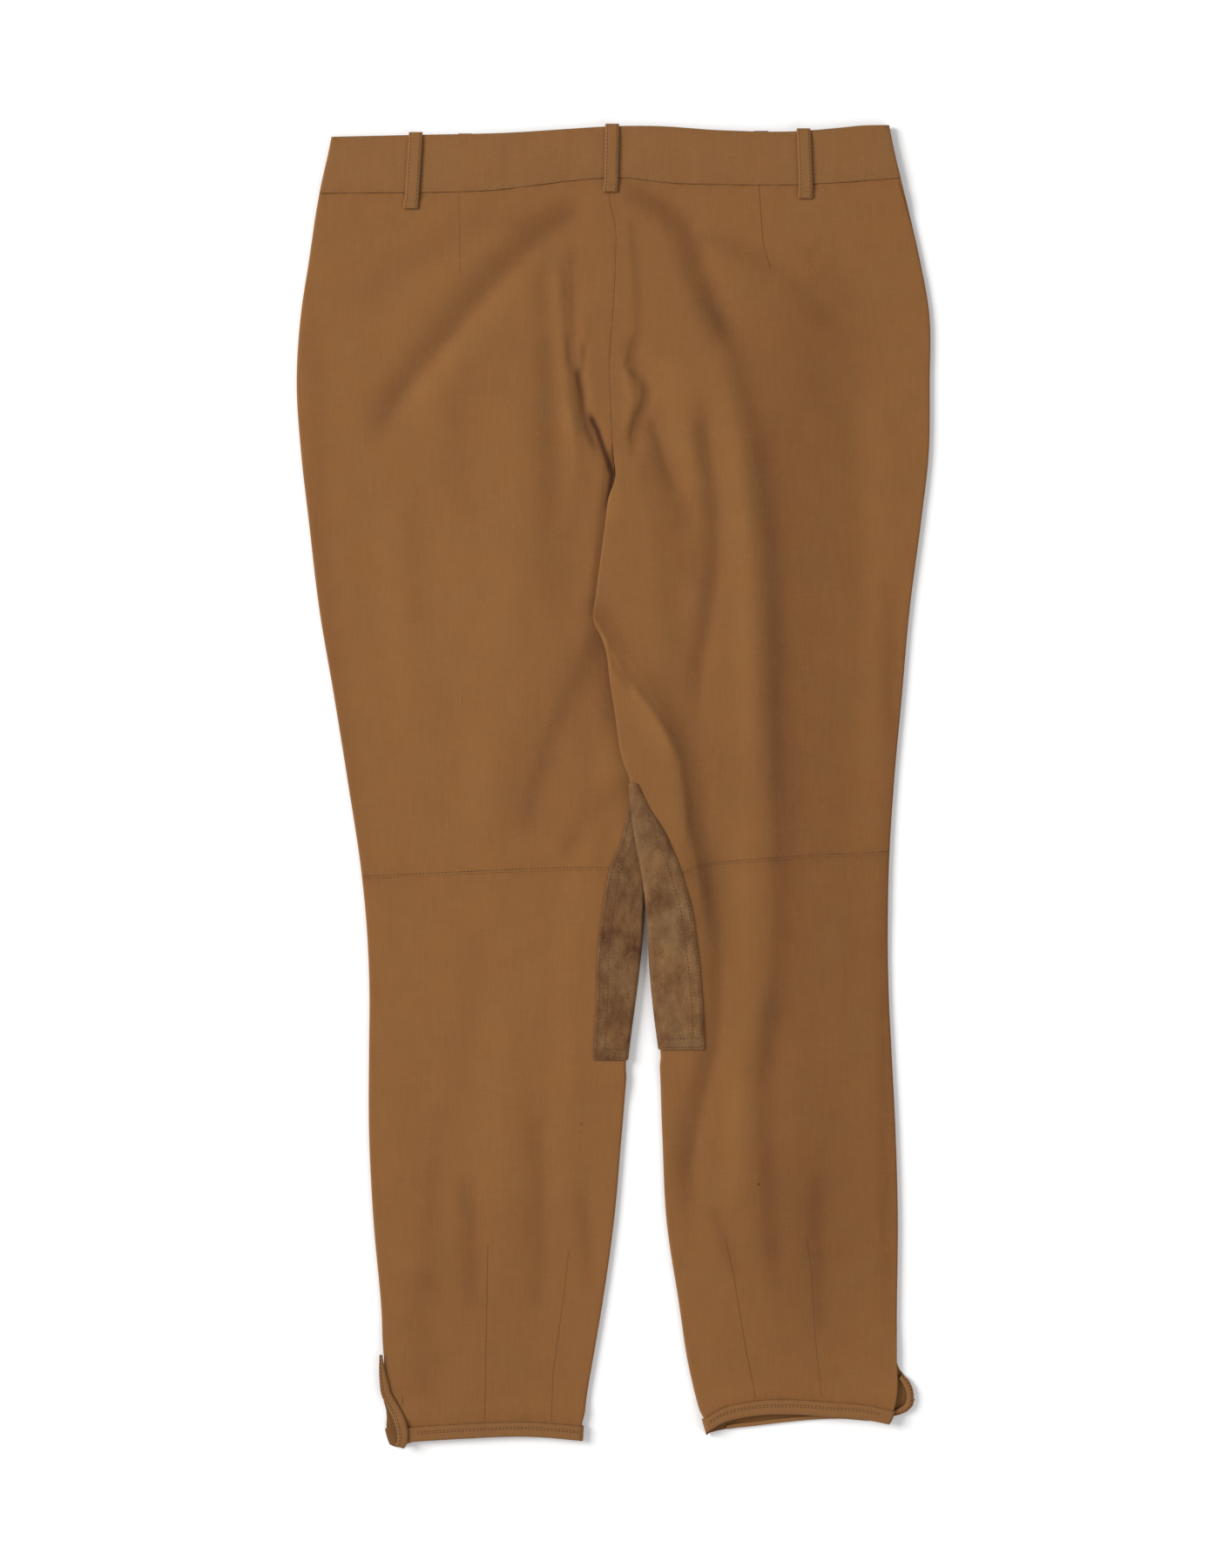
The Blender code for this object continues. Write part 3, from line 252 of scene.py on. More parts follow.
# Folds: leg, height (below 0 for a trough), reach on the -X side, reach on the +X side, route
FOLDS = (
    ("left", -0.0021, 0.011, 0.008, (
        (-0.010, 0.4400), (-0.030, 0.4350), (-0.060, 0.4150), (-0.090, 0.3850), (-0.120, 0.3500),
        (-0.150, 0.3150), (-0.170, 0.2850), (-0.185, 0.2550))),
    ("left", 0.0012, 0.011, 0.018, (
        (-0.045, 0.408), (-0.078, 0.374), (-0.108, 0.342), (-0.136, 0.308), (-0.152, 0.270))),
    ("left", 0.0009, 0.014, 0.012, ((-0.070, 0.432), (-0.110, 0.402), (-0.145, 0.366), (-0.175, 0.325))),
    ("left", -0.0015, 0.009, 0.008, (
        (-0.0520, 0.405), (-0.0485, 0.345), (-0.0445, 0.290), (-0.0410, 0.240), (-0.0400, 0.180))),
    ("left", 0.0010, 0.006, 0.005, ((-0.0415, 0.400), (-0.0385, 0.340), (-0.0340, 0.290), (-0.0300, 0.250))),
    ("left", -0.0016, 0.007, 0.006, (
        (-0.0350, 0.4060), (-0.0330, 0.3570), (-0.0310, 0.3230), (-0.0257, 0.3080), (-0.0235, 0.2850),
        (-0.0152, 0.2560))),
    ("left", 0.0008, 0.006, 0.006, ((-0.022, 0.362), (-0.0245, 0.330), (-0.0165, 0.300), (-0.0125, 0.280))),
    ("left", -0.0016, 0.010, 0.005, ((-0.0173, 0.2789), (-0.0119, 0.2696), (-0.0059, 0.2518), (-0.001, 0.2345))),
    ("left", -0.0009, 0.010, 0.010, ((-0.1150, 0.3050), (-0.1170, 0.2550), (-0.1180, 0.2000))),
    ("left", -0.0009, 0.012, 0.012, ((-0.1415, 0.2350), (-0.1415, 0.1700), (-0.1380, 0.1050))),
    ("left", 0.0012, 0.018, 0.015, ((-0.0720, 0.3000), (-0.0740, 0.2200), (-0.0760, 0.1500), (-0.0800, 0.0700))),
    ("left", -0.0016, 0.015, 0.012, (
        (-0.0080, 0.1250), (-0.0190, 0.0964), (-0.0404, 0.0644), (-0.0563, 0.0271), (-0.0670, -0.0155),
        (-0.0730, -0.0520))),
    ("left", -0.0008, 0.014, 0.014, ((-0.1180, 0.0800), (-0.1180, 0.0200), (-0.1210, -0.0400))),
    ("left", 0.0009, 0.014, 0.013, ((-0.0900, 0.0550), (-0.0940, 0.0000), (-0.0960, -0.0450))),
    ("left", 0.0009, 0.012, 0.012, ((-0.1640, 0.2200), (-0.1600, 0.1200), (-0.1520, 0.0200))),
    ("left", -0.0011, 0.012, 0.010, ((-0.0570, -0.2200), (-0.0555, -0.3000), (-0.0560, -0.3700))),
    ("left", -0.0010, 0.010, 0.010, ((-0.1100, -0.2900), (-0.1060, -0.3350), (-0.1080, -0.3900))),
    ("left", -0.0007, 0.008, 0.007, ((-0.0190, -0.2950), (-0.0170, -0.3300), (-0.0190, -0.3750))),
    ("left", 0.0010, 0.016, 0.013, ((-0.0850, -0.1500), (-0.0830, -0.2800), (-0.0800, -0.3900))),
    ("left", -0.0007, 0.014, 0.014, ((-0.1450, -0.2000), (-0.1430, -0.2700), (-0.1440, -0.3500))),
    ("left", 0.0008, 0.010, 0.010, ((-0.0300, -0.1900), (-0.0310, -0.2600), (-0.0360, -0.3300))),
    ("right", -0.0022, 0.009, 0.009, (
        (0.010, 0.4530), (0.040, 0.4350), (0.055, 0.4200), (0.063, 0.3900), (0.075, 0.3600),
        (0.090, 0.3300), (0.100, 0.3000), (0.108, 0.2700), (0.113, 0.2300), (0.120, 0.1800),
        (0.123, 0.1200), (0.123, 0.0600), (0.123, 0.0000), (0.125, -0.0600))),
    ("right", 0.0012, 0.007, 0.018, ((0.0620, 0.4300), (0.0780, 0.4050), (0.0910, 0.3700), (0.1080, 0.3350))),
    ("right", 0.0010, 0.010, 0.008, (
        (0.0780, 0.3400), (0.0870, 0.3000), (0.0950, 0.2600), (0.1010, 0.2000), (0.1030, 0.1300),
        (0.1040, 0.0600), (0.1060, 0.0000))),
    ("right", -0.0007, 0.014, 0.024, (
        (0.1240, 0.3000), (0.1270, 0.2500), (0.1310, 0.1900), (0.1310, 0.1300), (0.1310, 0.0700),
        (0.1330, 0.0000), (0.1330, -0.0600))),
    ("right", -0.0015, 0.010, 0.013, ((0.1270, -0.0300), (0.1250, -0.1000), (0.1210, -0.1700), (0.1160, -0.2500))),
    ("right", 0.0010, 0.016, 0.014, ((0.1620, 0.2900), (0.1700, 0.2200), (0.1740, 0.1400), (0.1760, 0.0600))),
    ("right", 0.0008, 0.014, 0.010, ((0.1680, -0.0500), (0.1700, -0.1500), (0.1690, -0.2400))),
    ("right", -0.0014, 0.007, 0.008, (
        (0.0183, 0.3455), (0.0152, 0.330), (0.0180, 0.316), (0.0257, 0.300), (0.0210, 0.2789), (0.0152, 0.260),
        (0.0106, 0.247))),
    ("right", -0.0014, 0.008, 0.007, (
        (0.0270, 0.2820), (0.0380, 0.2520), (0.0460, 0.2320), (0.0560, 0.2100), (0.0640, 0.1900))),
    ("right", 0.0010, 0.008, 0.010, ((0.0390, 0.3300), (0.0460, 0.2900), (0.0540, 0.2550), (0.0610, 0.2350))),
    ("right", -0.0016, 0.007, 0.008, (
        (0.0660, 0.2850), (0.0720, 0.2450), (0.0760, 0.2100), (0.0770, 0.1700), (0.0710, 0.1300),
        (0.0640, 0.0900), (0.0610, 0.0550))),
    ("right", -0.0011, 0.009, 0.010, ((0.0610, 0.4120), (0.0830, 0.4100), (0.1080, 0.4030), (0.1310, 0.3820))),
    ("right", -0.0009, 0.011, 0.011, ((0.1480, 0.4110), (0.1620, 0.3980), (0.1770, 0.3800), (0.1880, 0.3550))),
    ("right", -0.0010, 0.009, 0.009, ((0.2150, 0.1700), (0.2080, 0.0900), (0.2020, 0.0100), (0.2000, -0.0500))),
    ("right", -0.0012, 0.005, 0.005, ((-0.0059, 0.1066), (0.0013, 0.0947), (0.0092, 0.0828), (0.0172, 0.0703))),
    ("right", 0.0015, 0.010, 0.0035, (
        (-0.0150, 0.1250), (0.0070, 0.0850), (0.0250, 0.0610), (0.0405, 0.0370), (0.0485, 0.0180),
        (0.0520, -0.0065), (0.0540, -0.0330), (0.0580, -0.0550))),
    ("right", -0.0019, 0.009, 0.013, (
        (0.0300, 0.0980), (0.0480, 0.0500), (0.0580, 0.0155), (0.0632, -0.0109), (0.0658, -0.0473),
        (0.0700, -0.0900))),
    ("right", -0.0014, 0.008, 0.008, (
        (0.0700, -0.0700), (0.0775, -0.1100), (0.0780, -0.1600), (0.0740, -0.2000), (0.0620, -0.2450),
        (0.0550, -0.2800), (0.0600, -0.3200))),
    ("right", 0.0010, 0.011, 0.010, ((0.1000, -0.1700), (0.0960, -0.2300), (0.0930, -0.2900), (0.0930, -0.3400))),
    ("right", -0.0011, 0.010, 0.012, ((0.1200, -0.2350), (0.1200, -0.3000), (0.1210, -0.3700))),
    ("right", -0.0009, 0.012, 0.009, ((0.2040, -0.0900), (0.2040, -0.2200), (0.2000, -0.3300), (0.2000, -0.4000))),
    ("right", -0.0008, 0.010, 0.010, ((0.1530, -0.3050), (0.1540, -0.3450), (0.1570, -0.3850))),
    ("right", -0.0006, 0.008, 0.009, ((0.0540, -0.2200), (0.0560, -0.3000), (0.0620, -0.3800))),
)
FOLD_HEAD = 0.12
FOLD_TAIL = 0.20

# Fine creases, laid over the folds: leg, height, reach on the -X side, reach on the +X side, route
FINE_FOLDS = (
    ("left", -0.0011, 0.0032, 0.0042, (
        (-0.0331, 0.3455), (-0.0310, 0.3231), (-0.0257, 0.3079), (-0.0241, 0.2973), (-0.0233, 0.2848),
        (-0.0195, 0.2696), (-0.0152, 0.2591), (-0.0135, 0.2544))),
    ("left", 0.0008, 0.0034, 0.0034, ((-0.0278, 0.3420), (-0.0265, 0.3240), (-0.0238, 0.3120))),
    ("left", -0.0008, 0.0026, 0.0032, ((-0.0205, 0.3363), (-0.0218, 0.3185), (-0.0241, 0.3079))),
    ("left", -0.0015, 0.0048, 0.0024, (
        (-0.0173, 0.2789), (-0.0119, 0.2696), (-0.0059, 0.2518), (-0.0008, 0.2335))),
    ("left", 0.0007, 0.0050, 0.0060, ((-0.0300, 0.2900), (-0.0290, 0.2600), (-0.0260, 0.2300))),
    ("right", -0.0014, 0.0030, 0.0046, (
        (0.0183, 0.3455), (0.0152, 0.3303), (0.0106, 0.3185), (0.0244, 0.3092), (0.0257, 0.3000),
        (0.0244, 0.2894), (0.0183, 0.2789), (0.0152, 0.2670), (0.0152, 0.2544), (0.0106, 0.2472))),
    ("right", 0.0008, 0.0040, 0.0040, (
        (0.0085, 0.3300), (0.0120, 0.3040), (0.0150, 0.2920), (0.0100, 0.2740), (0.0080, 0.2600))),
    ("right", -0.0009, 0.0036, 0.0046, ((0.0290, 0.2789), (0.0380, 0.2518), (0.0455, 0.2320), (0.0515, 0.2168))),
    ("right", -0.0010, 0.0024, 0.0030, (
        (-0.0070, 0.1085), (0.0013, 0.0947), (0.0092, 0.0828), (0.0172, 0.0703))),
    ("right", -0.0006, 0.0050, 0.0060, ((0.0686, 0.3752), (0.0780, 0.3570), (0.0865, 0.3389))),
    ("right", -0.0006, 0.0060, 0.0060, ((0.0686, 0.2795), (0.0700, 0.2530), (0.0733, 0.2267))),
)

# Painted shade and painted light, as darker and paler stretches of cloth: leg, share, reach on the -X side, reach on
# the +X side, route
PAINTED_LIGHT_AND_SHADE = (
    ("left", -0.17, 0.012, 0.009, (
        (-0.020, 0.4420), (-0.060, 0.4160), (-0.090, 0.3860), (-0.120, 0.3510), (-0.150, 0.3160),
        (-0.170, 0.2860), (-0.188, 0.2450))),
    ("left", 0.06, 0.010, 0.014, ((-0.060, 0.3950), (-0.100, 0.3550), (-0.140, 0.3050), (-0.160, 0.2600))),
    ("left", -0.06, 0.012, 0.012, ((-0.080, 0.4400), (-0.160, 0.3950), (-0.210, 0.3550))),
    ("left", -0.17, 0.0024, 0.0050, ((-0.0330, 0.4150), (-0.0315, 0.3500), (-0.0270, 0.3050), (-0.0230, 0.2750))),
    ("left", -0.36, 0.0018, 0.0028, (
        (-0.0290, 0.3200), (-0.0245, 0.2973), (-0.0233, 0.2848), (-0.0195, 0.2696), (-0.0130, 0.2500))),
    ("left", -0.72, 0.0022, 0.0020, (
        (-0.0200, 0.2860), (-0.0119, 0.2696), (-0.0059, 0.2518), (-0.0006, 0.2370), (-0.0020, 0.2250),
        (-0.0060, 0.2050))),
    ("left", -0.22, 0.0034, 0.0050, ((0.0010, 0.2650), (-0.0070, 0.2250), (-0.0120, 0.1700), (-0.0170, 0.1250))),
    ("left", -0.20, 0.0100, 0.0080, ((-0.0140, 0.1500), (-0.0100, 0.1150), (-0.0060, 0.0900), (0.0000, 0.0350))),
    ("left", -0.17, 0.007, 0.011, (
        (-0.0100, 0.1300), (-0.0220, 0.0960), (-0.0360, 0.0640), (-0.0520, 0.0270), (-0.0620, -0.0050),
        (-0.0720, -0.0500))),
    ("left", -0.10, 0.008, 0.008, ((0.0150, 0.0060), (-0.0150, -0.0165), (-0.0320, -0.0400), (-0.0400, -0.0600))),
    ("left", -0.09, 0.009, 0.010, ((-0.0500, 0.3500), (-0.0540, 0.2800), (-0.0540, 0.2300), (-0.0480, 0.1200))),
    ("left", -0.06, 0.010, 0.010, ((-0.1120, 0.3300), (-0.1120, 0.2600), (-0.1100, 0.1900))),
    ("left", 0.03, 0.060, 0.040, ((-0.1400, 0.4000), (-0.1250, 0.2000), (-0.1150, 0.0000), (-0.1000, -0.3500))),
    ("left", -0.09, 0.007, 0.009, ((-0.2300, 0.3900), (-0.2230, 0.1900), (-0.2000, 0.0000), (-0.1850, -0.0800))),
    ("left", -0.06, 0.012, 0.012, ((-0.1030, -0.1000), (-0.1120, -0.1800), (-0.1220, -0.2500))),
    ("left", -0.09, 0.009, 0.009, ((-0.1280, -0.2300), (-0.1390, -0.3100), (-0.1410, -0.4000))),
    ("left", -0.09, 0.006, 0.008, ((-0.1130, -0.2900), (-0.1080, -0.3450), (-0.1080, -0.4050))),
    ("left", -0.09, 0.008, 0.006, ((-0.0600, -0.2400), (-0.0560, -0.3100), (-0.0550, -0.3500), (-0.0640, -0.4100))),
    ("left", -0.08, 0.006, 0.005, ((-0.0260, -0.3050), (-0.0200, -0.3450), (-0.0190, -0.3900))),
    ("left", -0.09, 0.014, 0.014, ((-0.1450, -0.3600), (-0.1450, -0.4800))),
    ("left", -0.05, 0.050, 0.050, ((-0.0950, -0.3000), (-0.0950, -0.4200), (-0.0950, -0.5400))),
    ("right", -0.19, 0.010, 0.008, (
        (0.000, 0.4560), (0.040, 0.4360), (0.055, 0.4200), (0.063, 0.3900), (0.075, 0.3600), (0.090, 0.3250))),
    ("right", -0.17, 0.0055, 0.017, (
        (0.060, 0.4100), (0.066, 0.3850), (0.078, 0.3560), (0.092, 0.3280), (0.101, 0.2980), (0.108, 0.2680),
        (0.113, 0.2300), (0.119, 0.1800), (0.121, 0.1200), (0.122, 0.0500), (0.125, -0.0300),
        (0.126, -0.0900), (0.122, -0.1500), (0.114, -0.2100), (0.111, -0.2600))),
    ("right", -0.09, 0.010, 0.012, (
        (0.108, 0.2900), (0.116, 0.2100), (0.121, 0.1200), (0.123, 0.0200), (0.1240, -0.0800))),
    ("right", -0.14, 0.007, 0.009, ((0.1200, -0.1400), (0.1130, -0.2200), (0.1150, -0.2900), (0.1230, -0.4000))),
    ("right", -0.17, 0.036, 0.040, (
        (0.1500, 0.4400), (0.1600, 0.2000), (0.1600, 0.0000), (0.1550, -0.2500), (0.1500, -0.5000))),
    ("right", -0.08, 0.012, 0.006, ((0.0560, 0.4200), (0.1000, 0.4070), (0.1300, 0.3880), (0.1750, 0.3400))),
    ("right", -0.18, 0.009, 0.0045, (
        (0.0620, 0.3050), (0.0710, 0.2550), (0.0755, 0.2150), (0.0765, 0.1700), (0.0710, 0.1300),
        (0.0640, 0.0900), (0.0600, 0.0250))),
    ("right", -0.10, 0.007, 0.012, ((0.0200, 0.2950), (0.0340, 0.2450), (0.0460, 0.2150), (0.0600, 0.1400))),
    ("right", 0.08, 0.009, 0.009, ((0.0450, 0.3300), (0.0560, 0.2650), (0.0620, 0.2150))),
    ("right", 0.06, 0.011, 0.009, ((0.0900, 0.2800), (0.1010, 0.1500), (0.1030, 0.0000))),
    ("right", 0.09, 0.012, 0.012, ((0.1930, 0.3200), (0.1980, 0.1200), (0.1960, -0.0600))),
    ("right", -0.14, 0.003, 0.005, (
        (0.0120, 0.4400), (0.0165, 0.3800), (0.0180, 0.3350), (0.0130, 0.3150), (0.0235, 0.2980),
        (0.0180, 0.2750), (0.0120, 0.2350))),
    ("right", 0.10, 0.007, 0.005, ((-0.0120, 0.1230), (0.0165, 0.0850), (0.0317, 0.0580), (0.0460, 0.0100))),
    ("right", -0.24, 0.0020, 0.0110, (
        (-0.0300, 0.1560), (-0.0075, 0.1178), (0.0111, 0.0845), (0.0297, 0.0605), (0.0456, 0.0365), (0.0535, 0.0180),
        (0.0567, -0.0065), (0.0589, -0.0330), (0.0650, -0.0600), (0.0760, -0.1300))),
    ("right", -0.20, 0.009, 0.006, (
        (0.0650, -0.0400), (0.0775, -0.1150), (0.0780, -0.1600), (0.0740, -0.2000), (0.0620, -0.2450),
        (0.0550, -0.2900), (0.0600, -0.3450))),
    ("right", 0.07, 0.009, 0.009, ((0.0950, 0.0000), (0.0960, -0.1200), (0.0940, -0.2000), (0.0900, -0.3500))),
    ("right", -0.16, 0.007, 0.009, (
        (0.2100, 0.1600), (0.2080, -0.0500), (0.2060, -0.1500), (0.2060, -0.2800), (0.2060, -0.4600))),
    ("right", -0.10, 0.005, 0.006, ((0.1530, -0.2850), (0.1530, -0.3400), (0.1560, -0.4200))),
    ("right", -0.10, 0.005, 0.006, ((0.0740, -0.3150), (0.0830, -0.3450), (0.0960, -0.3750))),
    ("right", -0.05, 0.050, 0.050, ((0.1300, -0.2600), (0.1300, -0.3800), (0.1300, -0.5000))),
    ("right", 0.10, 0.005, 0.004, ((0.0020, 0.2550), (0.0000, 0.2250), (-0.0020, 0.1950))),
)
# Painted shade in the folds' troughs and painted light on their ridges: what a metre of fold height adds to the painted
# shading, the limits of the painted shading, and the suede's part in it
PAINTED_SHADE_OF_A_FOLD = 24.0
DARKEST, PALEST = -0.75, 0.35
SUEDE_PAINTED_SHADE_SHARE = 0.3
# Painted shade over the whole left patch, which lies beside the right leg
LEFT_SUEDE_PAINTED_SHADE = -0.20

# Sewn darts and seams, and small marks: panel, half width, darkness, route
SEWN_LINES = (
    ("back_thigh_left", 0.0007, 0.20, ((-0.1165, 0.4490), (-0.1156, 0.3890))),
    ("back_thigh_right", 0.0007, 0.36, ((0.1102, 0.4550), (0.1135, 0.4110), (0.1188, 0.3930))),
    ("back_thigh_right", 0.0008, 0.40, ((0.2158, 0.4570), (0.2261, 0.4247))),
    ("back_thigh_left", 0.0005, 0.45, ((-0.1085, 0.3688), (-0.1085, 0.3690))),
    ("back_calf_left", 0.0006, 0.36, ((-0.0947, -0.3462), (-0.0970, -0.4788))),
    ("back_calf_left", 0.0006, 0.30, (
        (-0.0334, -0.3508), (-0.0372, -0.3845), (-0.0455, -0.4439), (-0.0465, -0.4788))),
    ("back_calf_right", 0.0006, 0.36, (
        (0.0849, -0.3416), (0.0908, -0.3673), (0.1008, -0.4267), (0.1079, -0.4617))),
    ("back_calf_right", 0.0006, 0.30, (
        (0.1462, -0.3383), (0.1503, -0.3673), (0.1527, -0.4148), (0.1574, -0.4604))),
    ("back_calf_right", 0.0014, 0.75, ((0.1100, -0.3003), (0.1101, -0.3004))),
    ("back_calf_left", 0.0009, 0.45, ((-0.0238, -0.2543), (-0.0238, -0.2549))),
    ("back_calf_left", 0.0008, 0.40, ((-0.0244, -0.2603), (-0.0244, -0.2605))),
    ("back_calf_left", 0.0007, 0.45, ((-0.1591, -0.4610), (-0.1591, -0.4663))),
)

# Rows of the grids and columns from a leg's edges
ROLL_STEPS = (0.0, 0.0004, 0.0009, 0.0015)
ROW_PITCH = 0.0036
FRONT_ROW_PITCH = 0.0055
NEAR_STEPS = np.concatenate([np.arange(0.0042, 0.0400, 0.0012), np.arange(0.0412, 0.0640, 0.0022)])
FAR_STEPS = (0.0090, 0.0065, 0.0045)
MIDDLE_CELLS = 44
SETTLING = 6

# Rows of stitching: distance in from the edge
KNEE_STITCH_IN = 0.0020
HEM_STITCHES_IN = (0.0036, 0.0050)
PATCH_STITCHES_IN = (0.0020, 0.0085)
VENT_STITCHES_IN = (0.30, 0.62)
FLY_STITCH = ((-0.036, 0.452), (-0.036, 0.370), (-0.034, 0.335), (-0.026, 0.312), (-0.012, 0.300), (-0.004, 0.297))
SUNK = 0.00004

# Rows of a thigh: closest together where the creases gather above the crotch
THIGH_SPANS = ((0.4600, 0.3550, 0.0036), (0.3550, 0.2000, 0.0018), (0.2000, -0.0620, 0.0036))
CALF_SPANS = ((-0.0620, -0.4900, 0.0036),)


def rise(value, none_at, full_at):
    """0 at one value and beyond it, 1 at the other and beyond it, and smooth between."""
    t = np.clip((value - none_at) / (full_at - none_at), 0.0, 1.0)
    return t * t * (3.0 - 2.0 * t)


def through(table, at):
    """A smooth curve through a table's (place, value) rows, straight on past its ends."""
    rows = np.array(sorted(table))
    place, value = rows[:, 0], rows[:, 1]
    slope = np.gradient(value, place)
    at = np.asarray(at, float)
    inside = np.clip(at, place[0], place[-1])
    i = np.clip(np.searchsorted(place, inside) - 1, 0, len(place) - 2)
    span = place[i + 1] - place[i]
    t = (inside - place[i]) / span
    curve = (
        (1 + 2 * t) * (1 - t) ** 2 * value[i]
        + t * (1 - t) ** 2 * span * slope[i]
        + t * t * (3 - 2 * t) * value[i + 1]
        + t * t * (t - 1) * span * slope[i + 1]
    )
    end_slope = np.where(at < place[0], slope[0], slope[-1])
    return curve + (at - inside) * end_slope


def route_offset(x, y, route):
    """How far each point lies to the +X side of a downward route, and how far along it, from 0 to 1."""
    points = np.array(route)
    steps = np.diff(points, axis=0)
    lengths = np.hypot(steps[:, 0], steps[:, 1])
    starts = np.concatenate([[0.0], np.cumsum(lengths)])
    nearest = np.full(np.shape(x), np.inf)
    side = np.zeros(np.shape(x))
    along = np.zeros(np.shape(x))
    for (px, py), (sx, sy), length, start in zip(points[:-1], steps, lengths, starts):
        t = np.clip(((x - px) * sx + (y - py) * sy) / length**2, 0.0, 1.0)
        dx, dy = x - px - t * sx, y - py - t * sy
        distance = np.hypot(dx, dy)
        closer = distance < nearest
        nearest = np.where(closer, distance, nearest)
        side = np.where(closer, np.sign(dy * sx - dx * sy) * distance, side)
        along = np.where(closer, (start + t * length) / starts[-1], along)
    return side, along


def relief(table, x, y, leg):
    """The sum of one leg's rows of a table: each a soft trough or ridge that fades at its ends."""
    total = np.zeros(np.shape(x))
    for owner, height, reach_low, reach_high, route in table:
        if owner != leg:
            continue
        side, along = route_offset(x, y, route)
        reach = np.where(side > 0, reach_high, reach_low)
        fade = rise(along, 0.0, FOLD_HEAD) * rise(along, 1.0, 1.0 - FOLD_TAIL)
        total += height * fade * np.exp(-((side / reach) ** 2))
    return total


def eased(value, least, most):
    """The value, eased so that it stays between two limits."""
    middle, reach = (least + most) / 2, (most - least) / 2
    return middle + reach * np.tanh((value - middle) / reach)


def rolled(z, distance, sign, depth=ROLL, reach=ROLL_REACH):
    """Heights that roll towards the inner side near an edge."""
    return z - sign * depth * np.clip(1.0 - distance / reach, 0.0, 1.0) ** 2


def turned_edge(half, out):
    """The points of a turned edge: x in from the cloth's edge, and z from the middle of the stack.

    The outline is moved out by a distance, for a piece that wraps round the cloth.
    """
    angle = np.linspace(0.0, math.pi / 2, RIM_POINTS)
    x = (RIM_RUN * half + out) * (1.0 - np.cos(angle)) - out
    z = np.maximum((half + out) * np.sin(angle), CLOSE)
    return x, z


def rows_between(*spans):
    """Rows from one y down to another through spans of (from, to, pitch), closer together at both ends."""
    ends = np.array(ROLL_STEPS)
    start, stop = spans[0][0], spans[-1][1]
    middle = [start - ends[-1]]
    for _, to, pitch in spans:
        to = max(to, stop + ends[-1])
        cells = max(int(round((middle[-1] - to) / pitch)), 1)
        middle += list(np.linspace(middle[-1], to, cells + 1)[1:])
    return np.concatenate([start - ends[:-1], middle, (stop + ends[:-1])[::-1]])


